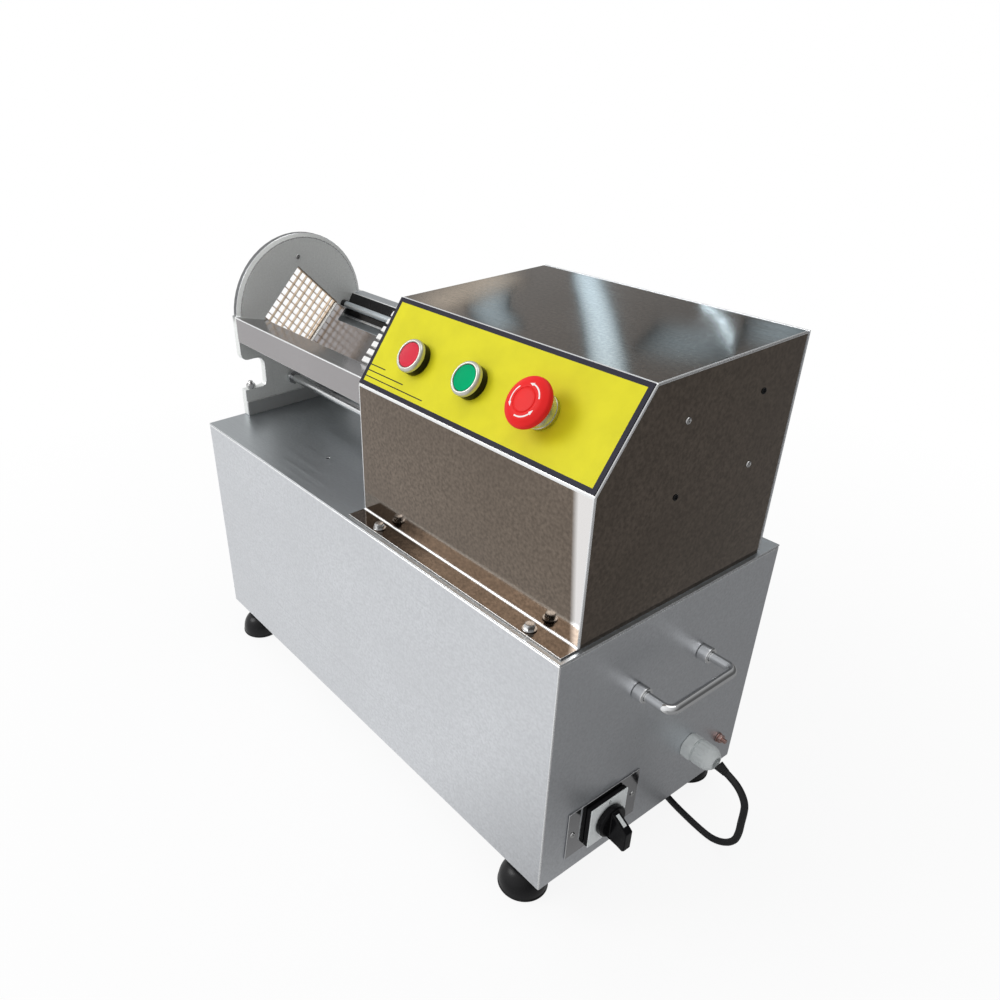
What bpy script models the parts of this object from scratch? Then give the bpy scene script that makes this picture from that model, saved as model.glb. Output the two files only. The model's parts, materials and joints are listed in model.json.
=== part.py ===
# French fry cutter: an electric table-top machine that pushes potatoes through a blade grid.
# Blender 4.5 script. Run it with: blender --background --python part.py
#
# The model is built in the deck's frame, in metres: x runs from the cabinet's left end to its right
# end, y from its front face to its back, and z up from the top of the deck. One empty then sets the
# machine on the floor with the origin under its middle.

import math

import bmesh
import bpy
from mathutils import Matrix, Vector

# Gap left between pieces that touch
GAP = 0.0003

# Cabinet, deck and feet
CABINET_LENGTH = 0.600
CABINET_WIDTH = 0.283
CABINET_HEIGHT = 0.263
CABINET_SHEET = 0.0015
CABINET_TOP_RIM = 0.014
CABINET_BOTTOM_RIM = 0.034
DECK_SHEET = 0.0015
DECK_HOLE_X = 0.1793
DECK_HOLE_Y = 0.0602
COVER_SHEET = 0.0015
FOOT_HEIGHT = 0.036
FOOT_RADIUS = 0.025
FOOT_INSET_X = 0.036
FOOT_INSET_Y = 0.0175
FOOT_NECK_RADIUS = 0.0085
FOOT_STUD_RADIUS = 0.004

# Drive housing and its control face
HOUSING_X = 0.3055
HOUSING_END_X = 0.5960
HOUSING_Y = 0.0238
HOUSING_BACK_Y = CABINET_WIDTH - 0.0278
HOUSING_FRONT_HEIGHT = 0.1327
HOUSING_HEIGHT = 0.2028
HOUSING_TOP_Y = 0.0757
HOUSING_SHEET = 0.0015
HOUSING_RIM = 0.012
HOUSING_FLANGE = 0.0192
FLANGE_BOLT_INSET = 0.042
OVERLAY_SHEET = 0.0006
OVERLAY_MARGIN = 0.0012

# Buttons on the control face, from the housing's left end
BUTTON_UP_FACE = 0.0402
JOG_X = 0.0605
AUTO_X = 0.1340
ESTOP_X = 0.2139
BUTTON_HOLE_RADIUS = 0.0112
BARREL_RADIUS = 0.0108
COLLAR_RADIUS = 0.0148
COLLAR_HEIGHT = 0.0068
BEZEL_RADIUS = 0.0150
BEZEL_HEIGHT = 0.0052
CAP_RADIUS = 0.0112
BUTTON_TRAVEL = 0.0030
MUSHROOM_RADIUS = 0.0206
MUSHROOM_HEIGHT = 0.0105
ESTOP_COLLAR_HEIGHT = 0.0097
ESTOP_STEM_RADIUS = 0.0085
ESTOP_TRAVEL = 0.0045
CONTACT_WIDTH = 0.030
CONTACT_DEPTH = 0.040

# Cutting line: the ram, the blade grid and the trough share this axis
LINE_Y = CABINET_WIDTH / 2 - 0.0025
LINE_Z = 0.1160
CELL = 0.00925
CELLS = 8
BLADE_THICKNESS = 0.0008
BLADE_DEPTH = 0.0044
BLADE_RAIL = 0.0012
PEG = 0.0060
PEG_LENGTH = 0.040
PUSHER_PLATE = 0.020
PUSHER_REST_X = HOUSING_X - 0.0925
TROUGH_CLEARANCE = 0.0006

# Head casting
HEAD_THICKNESS = 0.010
HEAD_RADIUS = 0.0882
HEAD_CENTRE_Z = 0.1178
HEAD_EAR = 0.090
HEAD_EAR_TOP = 0.124
HEAD_EAR_BOTTOM = 0.070
HEAD_NECK = 0.0595
HEAD_NECK_TOP = 0.060
HEAD_FOOT = 0.0895
HEAD_FOOT_HEIGHT = 0.033
HEAD_BAR_HEIGHT = 0.018
HEAD_BAR_PROUD = 0.0025
HEAD_LIP = 0.003
HEAD_BEVEL = 0.0050
HEAD_BEVEL_DEPTH = 0.0030
HEAD_STUD_OFFSET = 0.0790
HEAD_STUD_RADIUS = 0.003
FRAME_BORDER = 0.015
FRAME_SCREW_TOP = 0.0636
FRAME_SCREW_SIDE = 0.0545
FRAME_SCREW_DROP = 0.0090

# Trough and its side channel
TROUGH_SHEET = 0.0015
TROUGH_HALF = 0.0910
TROUGH_EDGE_Z = 0.1240
TROUGH_SKIRT = 0.0290
TROUGH_NEAR_RISE = 0.0515
TROUGH_FAR_RISE = 0.0380
TROUGH_TAB_LENGTH = 0.020
CHANNEL_FLOOR = 0.0600
CHANNEL_LIP = 0.0760
LINING_SHEET = 0.0010
RAIL_RADIUS = 0.0040
RAIL_OFFSET = 0.0610
RAIL_Z = 0.1130
TIE_ROD_RADIUS = 0.0050
TIE_ROD_OFFSET = 0.0220
TIE_ROD_Z = 0.0360
NUT_HEIGHT = 0.0080

# Drive
MODULE = 0.002
PINION_TEETH = 20
PINION_WIDTH = 0.014
PINION_X = HOUSING_X + 0.0475
STROKE_TEETH = 34
RAM_SIDE = 0.026
RAM_FLANGE = 0.006
RAM_FLANGE_SIDE = 0.044
RACK_HEIGHT = 0.012
RACK_WIDTH = 0.014
RACK_OVERRUN = 0.012
RAM_END_X = HOUSING_END_X - 0.0090
SHAFT_RADIUS = 0.008
PLATE_THICKNESS = 0.010
PLATE_HALF = 0.040
PLATE_TOP = 0.138
BASE_THICKNESS = 0.008
FRAME_END_X = HOUSING_X + 0.0665
GUIDE_WALL = 0.0070
PAD = 0.0023
BEARING_WIDTH = 0.016
GEARBOX_OFFSET = 0.033
GEARBOX_WIDTH = 0.064
GEARBOX_RADIUS = 0.0315
WORM_OFFSET = 0.034
MOTOR_ROOM = 0.0275
MOTOR_LENGTH = 0.175
MOTOR_SHAFT_RADIUS = 0.007
MOTOR_SHAFT_REACH = 0.022

# Right end face: selector switch, handle, gland, earth screw
SELECTOR_Y = 0.0775
SELECTOR_RISE = 0.0508
SELECTOR_PLATE_MARGIN = 0.0067
SELECTOR_PLATE_HEIGHT = 0.058
SELECTOR_PLATE = 0.0012
SELECTOR_SIDE = 0.048
SELECTOR_BODY = 0.0043
SELECTOR_NECK_RADIUS = 0.0138
SELECTOR_CAM_SIDE = 0.044
SELECTOR_CAM_DEPTH = 0.048
SELECTOR_DIAL = 0.0012
SELECTOR_SCREW_SPACING = 0.0806
KNOB_RADIUS = 0.0170
KNOB_DISC = 0.0070
KNOB_GRIP_REACH = 0.0250
KNOB_GRIP_WIDTH = 0.0095
HANDLE_SPACING = 0.088
HANDLE_OFFSET = 0.0040
HANDLE_Z = -0.0775
HANDLE_REACH = 0.040
HANDLE_RADIUS = 0.0046
HANDLE_BEND = 0.0080
FERRULE_RADIUS = 0.0080
FERRULE_LENGTH = 0.0105
GLAND_Y = 0.2005
GLAND_RISE = 0.0648
GLAND_FLANGE = 0.0100
GLAND_LENGTH = 0.033
EARTH_Y = CABINET_WIDTH - 0.0290
EARTH_RISE = 0.0428

# Control box, on a plate held by four screws in the housing's end wall
BOX_SCREW_Y = (HOUSING_BACK_Y - 0.1387, HOUSING_BACK_Y - 0.0472)
BOX_SCREW_Z = (0.1028, 0.1653)
BOX_PLATE = 0.002
BOX_DEPTH = 0.040

# Mains cord, in metres on the floor's frame: x and y from the machine's middle, z from the floor
CORD_RADIUS = 0.0035
SLEEVE_LENGTH = 0.0100
COIL_CENTRE = (0.060, 0.212)
COIL_RADIUS = 0.0385
COIL_HALF_WIDTH = 0.0105
COIL_HEIGHT = 0.0140
COIL_BOTTOM = 0.0014
TIE_THICKNESS = 0.0008
TIE_WIDTH = 0.012
PLUG_RADIUS = 0.018
PLUG_LENGTH = 0.045
PLUG_PIN_SPACING = 0.019

# Values that follow from the ones above
DECK_Z = FOOT_HEIGHT + COVER_SHEET + CABINET_HEIGHT + DECK_SHEET + 3 * GAP
CABINET_BOTTOM_Z = -(DECK_SHEET + GAP + CABINET_HEIGHT)
SELECTOR_Z = CABINET_BOTTOM_Z + SELECTOR_RISE
SELECTOR_PLATE_WIDTH = SELECTOR_SCREW_SPACING + 2 * SELECTOR_PLATE_MARGIN
GLAND_Z = CABINET_BOTTOM_Z + GLAND_RISE
EARTH_Z = CABINET_BOTTOM_Z + EARTH_RISE
MACHINE_LEFT_X = -(NUT_HEIGHT + GAP)
KNOB_SEAT_X = CABINET_LENGTH + SELECTOR_PLATE + SELECTOR_BODY + SELECTOR_DIAL + 4 * GAP
MACHINE_RIGHT_X = CABINET_LENGTH + HANDLE_REACH
MIDDLE_X = (MACHINE_LEFT_X + MACHINE_RIGHT_X) / 2
MIDDLE_Y = CABINET_WIDTH / 2
MOTOR_Y = LINE_Y + GEARBOX_OFFSET + GEARBOX_WIDTH / 2
MOTOR_RADIUS = CABINET_WIDTH - CABINET_SHEET - MOTOR_Y - MOTOR_ROOM
GRID_SIDE = CELL * CELLS
GRID_CORNER = GRID_SIDE / math.sqrt(2)
TROUGH_BOTTOM_Z = LINE_Z - GRID_CORNER - TROUGH_CLEARANCE * math.sqrt(2)
PITCH = math.pi * MODULE
STROKE = STROKE_TEETH * PITCH
PINION_RADIUS = MODULE * PINION_TEETH / 2
RACK_TOP_Z = LINE_Z - RAM_SIDE / 2 - GAP
RACK_BOTTOM_Z = RACK_TOP_Z - RACK_HEIGHT
PITCH_Z = RACK_BOTTOM_Z + MODULE
SHAFT_Z = PITCH_Z - PINION_RADIUS
RAM_START_X = PUSHER_REST_X + PEG_LENGTH + PUSHER_PLATE + GAP
PLATE_X = HOUSING_X + HOUSING_SHEET + 0.0015
SLOPE = math.atan2(HOUSING_HEIGHT - HOUSING_FRONT_HEIGHT, HOUSING_TOP_Y - HOUSING_Y)
SLOPE_LENGTH = math.hypot(HOUSING_HEIGHT - HOUSING_FRONT_HEIGHT, HOUSING_TOP_Y - HOUSING_Y)


# Materials

STAINLESS = ("stainless steel", (0.60, 0.61, 0.62), 0.28, 1.0)
MIRROR_STEEL = ("mirror steel", (0.50, 0.49, 0.47), 0.12, 1.0)
CAST_ALUMINIUM = ("cast aluminium", (0.55, 0.56, 0.56), 0.45, 1.0)
BRIGHT_STEEL = ("bright steel", (0.70, 0.70, 0.70), 0.20, 1.0)
BLADE_STEEL = ("blade steel", (0.72, 0.62, 0.50), 0.25, 1.0)
CHROME = ("chrome", (0.80, 0.80, 0.80), 0.08, 1.0)
PUSHER_WHITE = ("white food plastic", (0.85, 0.85, 0.84), 0.40, 0.0)
BLACK_RUBBER = ("black rubber", (0.03, 0.03, 0.03), 0.45, 0.0)
BLACK_PLASTIC = ("black plastic", (0.02, 0.02, 0.02), 0.35, 0.0)
YELLOW_FILM = ("yellow film", (0.72, 0.66, 0.02), 0.40, 0.0)
RED_PLASTIC = ("red plastic", (0.65, 0.03, 0.05), 0.30, 0.0)
GREEN_PLASTIC = ("green plastic", (0.01, 0.35, 0.16), 0.30, 0.0)
GREY_PLASTIC = ("grey plastic", (0.62, 0.66, 0.66), 0.50, 0.0)
PALE_PLASTIC = ("pale plastic", (0.75, 0.80, 0.80), 0.40, 0.0)
BRASS = ("brass", (0.60, 0.36, 0.22), 0.30, 1.0)
PAINTED_IRON = ("painted iron", (0.12, 0.16, 0.20), 0.50, 0.0)
GEAR_STEEL = ("gear steel", (0.40, 0.40, 0.41), 0.40, 1.0)


def material(finish):
    """The material for a (name, colour, roughness, metallic) finish, made once."""
    name, colour, roughness, metallic = finish
    found = bpy.data.materials.get(name)
    if found:
        return found
    made = bpy.data.materials.new(name)
    made.use_nodes = True
    shader = made.node_tree.nodes["Principled BSDF"]
    shader.inputs["Base Color"].default_value = (*colour, 1.0)
    shader.inputs["Roughness"].default_value = roughness
    shader.inputs["Metallic"].default_value = metallic
    made.diffuse_color = (*colour, 1.0)
    return made


# Shapes: each function returns a bmesh with its faces pointing out

def box(low, high):
    """A block between two corners."""
    shape = bmesh.new()
    bmesh.ops.create_cube(shape, size=1.0)
    middle = [(a + b) / 2 for a, b in zip(low, high)]
    size = [b - a for a, b in zip(low, high)]
    shape.transform(Matrix.Translation(middle) @ Matrix.Diagonal((*size, 1.0)))
    return shape


def prism(outline, start, end, axis="X"):
    """An outline carried along an axis: (y, z) along X, (x, z) along Y, (x, y) along Z."""
    places = {
        "X": lambda along, a, b: (along, a, b),
        "Y": lambda along, a, b: (a, along, b),
        "Z": lambda along, a, b: (a, b, along),
    }
    place = places[axis]
    shape = bmesh.new()
    first = [shape.verts.new(place(start, a, b)) for a, b in outline]
    last = [shape.verts.new(place(end, a, b)) for a, b in outline]
    shape.faces.new(first)
    shape.faces.new(last[::-1])
    count = len(outline)
    for i in range(count):
        j = (i + 1) % count
        shape.faces.new((first[j], first[i], last[i], last[j]))
    bmesh.ops.recalc_face_normals(shape, faces=shape.faces)
    return shape


def lofted(sections):
    """A closed solid through (x, outline) sections along X, each outline with the same number of points."""
    shape = bmesh.new()
    rings = [[shape.verts.new((x, a, b)) for a, b in outline] for x, outline in sections]
    shape.faces.new(rings[0])
    shape.faces.new(rings[-1][::-1])
    count = len(rings[0])
    for low, high in zip(rings, rings[1:]):
        for i in range(count):
            j = (i + 1) % count
            shape.faces.new((low[j], low[i], high[i], high[j]))
    bmesh.ops.recalc_face_normals(shape, faces=shape.faces)
    return shape


def turned(profile, sides=16, axis="Z"):
    """A closed profile of (radius, height) points turned about an axis through the origin."""
    shape = bmesh.new()
    rings = []
    for radius, height in profile:
        if radius == 0:
            rings.append([shape.verts.new((0, 0, height))] * sides)
            continue
        angles = [2 * math.pi * k / sides for k in range(sides)]
        rings.append([shape.verts.new((radius * math.cos(a), radius * math.sin(a), height)) for a in angles])
    for i in range(len(rings)):
        lower, upper = rings[i], rings[(i + 1) % len(rings)]
        for k in range(sides):
            m = (k + 1) % sides
            corners = list(dict.fromkeys((lower[k], lower[m], upper[m], upper[k])))
            if len(corners) > 2:
                shape.faces.new(corners)
    turns = {
        "X": Matrix.Rotation(math.pi / 2, 4, "Y"),
        "Y": Matrix.Rotation(-math.pi / 2, 4, "X"),
        "Z": Matrix.Identity(4),
    }
    shape.transform(turns[axis])
    bmesh.ops.recalc_face_normals(shape, faces=shape.faces)
    return shape


def pin(radius, start, end, sides=16, axis="Z"):
    """A plain round bar along an axis."""
    return turned([(0, start), (radius, start), (radius, end), (0, end)], sides, axis)


def ring(inner, outer, start, end, sides=24, axis="Z"):
    """A round ring along an axis."""
    return turned([(inner, start), (outer, start), (outer, end), (inner, end)], sides, axis)


def moved(shape, x=0.0, y=0.0, z=0.0):
    """The shape shifted by x, y and z."""
    shape.transform(Matrix.Translation((x, y, z)))
    return shape


def joined(shapes):
    """Several separate solids kept in one mesh."""
    whole = bmesh.new()
    for shape in shapes:
        part = bpy.data.meshes.new("part")
        shape.to_mesh(part)
        shape.free()
        whole.from_mesh(part)
        bpy.data.meshes.remove(part)
    return whole


def combined(shape, tool, operation):
    """The shape after one Boolean with a tool, both given as bmeshes."""
    pair = []
    for label, mesh in (("work", shape), ("tool", tool)):
        data = bpy.data.meshes.new(label)
        mesh.to_mesh(data)
        mesh.free()
        thing = bpy.data.objects.new(label, data)
        bpy.context.scene.collection.objects.link(thing)
        pair.append(thing)
    work, cutter = pair
    step = work.modifiers.new("boolean", "BOOLEAN")
    step.operation = operation
    step.solver = "EXACT"
    step.use_self = operation == "UNION"
    step.object = cutter
    view = bpy.context.evaluated_depsgraph_get()
    result = bmesh.new()
    result.from_mesh(work.evaluated_get(view).to_mesh())
    for thing in pair:
        data = thing.data
        bpy.data.objects.remove(thing)
        bpy.data.meshes.remove(data)
    bmesh.ops.remove_doubles(result, verts=result.verts, dist=0.000001)
    return result


def cut(shape, *tools):
    """The shape with each tool taken out of it."""
    for tool in tools:
        shape = combined(shape, tool, "DIFFERENCE")
    return shape


def fused(shape, *others):
    """The shape united with each of the others."""
    for other in others:
        shape = combined(shape, other, "UNION")
    return shape


def arc(centre, radius, start, end, steps):
    """Points on an arc, angles in degrees."""
    angles = [math.radians(start + (end - start) * k / steps) for k in range(steps + 1)]
    return [(centre[0] + radius * math.cos(a), centre[1] + radius * math.sin(a)) for a in angles]


def folded(line, thickness):
    """The outline of a sheet: an open line of points and its copy shifted to the line's right."""
    points = [Vector(p) for p in line]
    sides = []
    for a, b in zip(points, points[1:]):
        run = (b - a).normalized()
        sides.append(Vector((run.y, -run.x)))
    shifted = [points[0] + sides[0] * thickness]
    for corner, before, after in zip(points[1:], sides, sides[1:]):
        bisector = (before + after).normalized()
        shifted.append(corner + bisector * thickness / bisector.dot(before))
    shifted.append(points[-1] + sides[-1] * thickness)
    return [tuple(p) for p in points] + [tuple(p) for p in reversed(shifted)]


def screw(head_radius, head_height, shank_radius, shank_length, sides=12, axis="Z"):
    """A screw along an axis: the head's seat at the origin, the shank running the other way."""
    profile = [(0, -shank_length), (shank_radius, -shank_length), (shank_radius, 0)]
    profile += [(head_radius, 0), (head_radius, head_height * 0.6), (head_radius * 0.7, head_height)]
    return turned(profile + [(0, head_height)], sides, axis)


def along(points, radius, resolution):
    """A round bar through a line of points, as a curve with filled ends."""
    curve = bpy.data.curves.new("bar", "CURVE")
    curve.dimensions = "3D"
    curve.bevel_depth = radius
    curve.bevel_resolution = resolution
    curve.use_fill_caps = True
    spline = curve.splines.new("POLY")
    spline.points.add(len(points) - 1)
    for point, place in zip(spline.points, points):
        point.co = (*place, 1.0)
    return curve


# The scene: every object is parented to the frame that it is measured in

def frame_at(name, parent, location, turn=(0.0, 0.0, 0.0)):
    """An empty that carries pieces, placed in its parent's frame."""
    empty = bpy.data.objects.new(name, None)
    bpy.context.scene.collection.objects.link(empty)
    empty.parent = parent
    empty.location = location
    empty.rotation_euler = turn
    return empty


def piece(name, shape, finish, parent, location=(0.0, 0.0, 0.0)):
    """One named piece: its mesh, material and place. The location is the piece's own origin."""
    if isinstance(shape, bmesh.types.BMesh):
        data = bpy.data.meshes.new(name)
        shape.to_mesh(data)
        shape.free()
        data.shade_smooth()
        data.set_sharp_from_angle(angle=math.radians(35))
    else:
        data = shape
        data.name = name
    data.materials.append(material(finish))
    thing = bpy.data.objects.new(name, data)
    bpy.context.scene.collection.objects.link(thing)
    thing.parent = parent
    thing.location = location
    return thing


# Cabinet, deck, cover and feet

def foot_places():
    """The four feet's middles in the deck's frame."""
    left, right = FOOT_INSET_X, CABINET_LENGTH - FOOT_INSET_X
    front, back = FOOT_INSET_Y, CABINET_WIDTH - FOOT_INSET_Y
    return {
        "foot_front_left": (left, front),
        "foot_front_right": (right, front),
        "foot_rear_left": (left, back),
        "foot_rear_right": (right, back),
    }


def flange_bolt_places():
    """The housing's two front bolts."""
    y = HOUSING_Y - HOUSING_FLANGE * 0.6
    return [(HOUSING_X + FLANGE_BOLT_INSET, y), (HOUSING_END_X - FLANGE_BOLT_INSET, y)]


def head_stud_places():
    """The two studs that hold the head's foot to the deck."""
    x = HEAD_THICKNESS / 2
    return [(x, LINE_Y - HEAD_STUD_OFFSET), (x, LINE_Y + HEAD_STUD_OFFSET)]


def handle_places():
    """The y of the handle's two legs."""
    y = MIDDLE_Y + HANDLE_OFFSET
    return [y - HANDLE_SPACING / 2, y + HANDLE_SPACING / 2]


def selector_screw_places():
    """The y of the selector plate's two screws."""
    return [SELECTOR_Y - SELECTOR_SCREW_SPACING / 2, SELECTOR_Y + SELECTOR_SCREW_SPACING / 2]


def build_cabinet(machine):
    """The folded shell, the deck plate on its top rim and the cover under its bottom rim."""
    top, bottom, t = -(DECK_SHEET + GAP), CABINET_BOTTOM_Z, CABINET_SHEET
    length, width = CABINET_LENGTH, CABINET_WIDTH
    shell = box((0, 0, bottom), (length, width, top))
    inside = box((t, t, bottom + t), (length - t, width - t, top - t))
    rim = CABINET_TOP_RIM
    mouth = box((rim, rim, top - 2 * t), (length - rim, width - rim, top + t))
    rim = CABINET_BOTTOM_RIM
    floor = box((rim, rim, bottom - t), (length - rim, width - rim, bottom + 2 * t))
    shell = cut(shell, fused(fused(inside, mouth), floor))
    holes = []
    for x, y in foot_places().values():
        holes.append(moved(pin(FOOT_STUD_RADIUS + GAP, bottom - t, bottom + 2 * t), x, y))
    for x, y in head_stud_places() + flange_bolt_places():
        holes.append(moved(pin(HEAD_STUD_RADIUS + GAP, top - 2 * t, top + t), x, y))
    wall = (length - 2 * t, length + t)
    holes.append(moved(pin(0.0145, *wall, 24, "X"), 0, SELECTOR_Y, SELECTOR_Z))
    holes.append(moved(pin(0.0098, *wall, 20, "X"), 0, GLAND_Y, GLAND_Z))
    holes.append(moved(pin(0.0028, *wall, 12, "X"), 0, EARTH_Y, EARTH_Z))
    for y in selector_screw_places():
        holes.append(moved(pin(0.0019, *wall, 12, "X"), 0, y, SELECTOR_Z))
    for y in handle_places():
        holes.append(moved(pin(0.0034, *wall, 12, "X"), 0, y, HANDLE_Z))
    piece("cabinet_shell", cut(shell, joined(holes)), STAINLESS, machine)

    deck = box((0, 0, -DECK_SHEET), (length, width, 0))
    through = (-2 * DECK_SHEET, DECK_SHEET)
    holes = []
    for x, y in head_stud_places() + flange_bolt_places():
        holes.append(moved(pin(HEAD_STUD_RADIUS + GAP, *through), x, y))
    holes.append(moved(pin(0.0150, *through, 24), PINION_X + WORM_OFFSET, MOTOR_Y))
    holes.append(moved(pin(0.0120, *through, 20), HOUSING_END_X - 0.050, HOUSING_BACK_Y - 0.040))
    holes.append(moved(pin(0.0022, *through, 12), DECK_HOLE_X, DECK_HOLE_Y))
    piece("deck_plate", cut(deck, joined(holes)), STAINLESS, machine)

    cover_top = CABINET_BOTTOM_Z - GAP
    cover = box((0.002, 0.002, cover_top - COVER_SHEET), (length - 0.002, width - 0.002, cover_top))
    holes = []
    for x, y in foot_places().values():
        hole = pin(FOOT_STUD_RADIUS + GAP, cover_top - 2 * COVER_SHEET, cover_top + COVER_SHEET)
        holes.append(moved(hole, x, y))
    piece("bottom_cover", cut(cover, joined(holes)), STAINLESS, machine)


def build_feet(machine):
    """Domed rubber feet, each with a stud through the cover and the cabinet's bottom rim, and a nut."""
    top = FOOT_HEIGHT - GAP
    dome_base, dome_top = 0.0045, FOOT_HEIGHT * 0.76
    profile = [(0, 0), (FOOT_RADIUS - 0.0012, 0), (FOOT_RADIUS, 0.0012), (FOOT_RADIUS, 0.0038)]
    rise, reach = dome_top - dome_base, FOOT_RADIUS - 0.001 - FOOT_NECK_RADIUS
    for k in range(5):
        a = math.radians(18 * k)
        profile.append((FOOT_NECK_RADIUS + reach * math.cos(a), dome_base + rise * math.sin(a)))
    profile += [(FOOT_NECK_RADIUS, dome_top + 0.0003), (FOOT_NECK_RADIUS, top), (0, top)]
    nut_seat = top + 3 * GAP + COVER_SHEET + CABINET_SHEET
    for name, (x, y) in foot_places().items():
        stud = pin(FOOT_STUD_RADIUS, top - 0.010, nut_seat + 0.0110, 12)
        nut = pin(0.0072, nut_seat, nut_seat + 0.0065, 6)
        foot = fused(turned(profile, 18), fused(stud, nut))
        piece(name, foot, BLACK_RUBBER, machine, (x, y, -DECK_Z))


# Drive housing

def housing_outline(inset):
    """The housing's end seen along X, drawn in by a sheet's thickness; open at the foot."""
    run = Vector((HOUSING_TOP_Y - HOUSING_Y, HOUSING_HEIGHT - HOUSING_FRONT_HEIGHT)).normalized()
    low_turn = inset * math.tan(math.atan2(run.x, run.y) / 2)
    high_turn = inset * math.tan(SLOPE / 2)
    return [
        (HOUSING_Y + inset, GAP - inset),
        (HOUSING_Y + inset, HOUSING_FRONT_HEIGHT - low_turn),
        (HOUSING_TOP_Y + high_turn, HOUSING_HEIGHT - inset),
        (HOUSING_BACK_Y - inset, HOUSING_HEIGHT - inset),
        (HOUSING_BACK_Y - inset, GAP - inset),
    ]


def box_screw_places():
    """The four screws of the control box's plate, on the housing's end wall."""
    return [(y, z) for y in BOX_SCREW_Y for z in BOX_SCREW_Z]


def build_housing(machine, panel):
    """The drive housing: a folded shell with its front flange, and the cover on its open back."""
    t, rim = HOUSING_SHEET, HOUSING_RIM
    shell = prism(housing_outline(0), HOUSING_X, HOUSING_END_X)
    inside = prism(housing_outline(t), HOUSING_X + t, HOUSING_END_X - t)
    back = box(
        (HOUSING_X + rim, HOUSING_BACK_Y - 2 * t, rim),
        (HOUSING_END_X - rim, HOUSING_BACK_Y + t, HOUSING_HEIGHT - rim),
    )
    shell = cut(shell, fused(inside, back))
    flange = box(
        (HOUSING_X, HOUSING_Y - HOUSING_FLANGE, GAP),
        (HOUSING_END_X, HOUSING_Y + t / 2, GAP + t),
    )
    shell = fused(shell, flange)
    holes = []
    for x in (JOG_X, AUTO_X, ESTOP_X):
        hole = pin(BUTTON_HOLE_RADIUS, -2 * t, t, 18)
        hole.transform(panel.matrix_local @ Matrix.Translation((x, BUTTON_UP_FACE, 0)))
        holes.append(hole)
    for x, y in flange_bolt_places():
        holes.append(moved(pin(HEAD_STUD_RADIUS + GAP, -t, 3 * t, 12), x, y))
    half = RAM_SIDE / 2 + 0.005
    holes.append(box(
        (HOUSING_X - t, LINE_Y - half, RACK_BOTTOM_Z - 0.005),
        (HOUSING_X + 2 * t, LINE_Y + half, LINE_Z + half),
    ))
    wall = (HOUSING_X - t, HOUSING_X + 2 * t)
    for offset in (-TIE_ROD_OFFSET, TIE_ROD_OFFSET):
        holes.append(moved(pin(TIE_ROD_RADIUS + GAP, *wall, 16, "X"), 0, LINE_Y + offset, TIE_ROD_Z))
    wall = (HOUSING_END_X - 2 * t, HOUSING_END_X + t)
    for y, z in box_screw_places():
        holes.append(moved(pin(0.0021 + GAP, *wall, 12, "X"), 0, y, z))
    piece("housing_shell", cut(shell, joined(holes)), MIRROR_STEEL, machine)

    seat = HOUSING_BACK_Y + GAP
    cover = box((HOUSING_X, seat, 0.002), (HOUSING_END_X, seat + t, HOUSING_HEIGHT))
    slots = []
    for k in range(6):
        low = 0.060 + 0.013 * k
        slots.append(box((HOUSING_X + 0.170, seat - t, low), (HOUSING_X + 0.250, seat + 2 * t, low + 0.005)))
    middle_z = HOUSING_HEIGHT / 2
    spots = []
    for x in (HOUSING_X + rim / 2, HOUSING_END_X - rim / 2):
        for z in (middle_z - 0.080, middle_z, middle_z + 0.080):
            spots.append((x, z))
    for x, z in spots:
        slots.append(moved(pin(0.0018, seat - t, seat + 2 * t, 12, "Y"), x, 0, z))
    piece("rear_cover", cut(cover, joined(slots)), STAINLESS, machine)
    for name, (x, y) in zip(("flange_bolt_left", "flange_bolt_right"), flange_bolt_places()):
        bolt = fused(screw(0.0048, 0.0056, 0.0029, 0.012, 6), pin(0.0062, 0, 0.001, 16))
        piece(name, bolt, BRIGHT_STEEL, machine, (x, y, t + 2 * GAP))


# Controls on the sloping face; its frame has x along the face, y up the slope and z outwards

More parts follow.
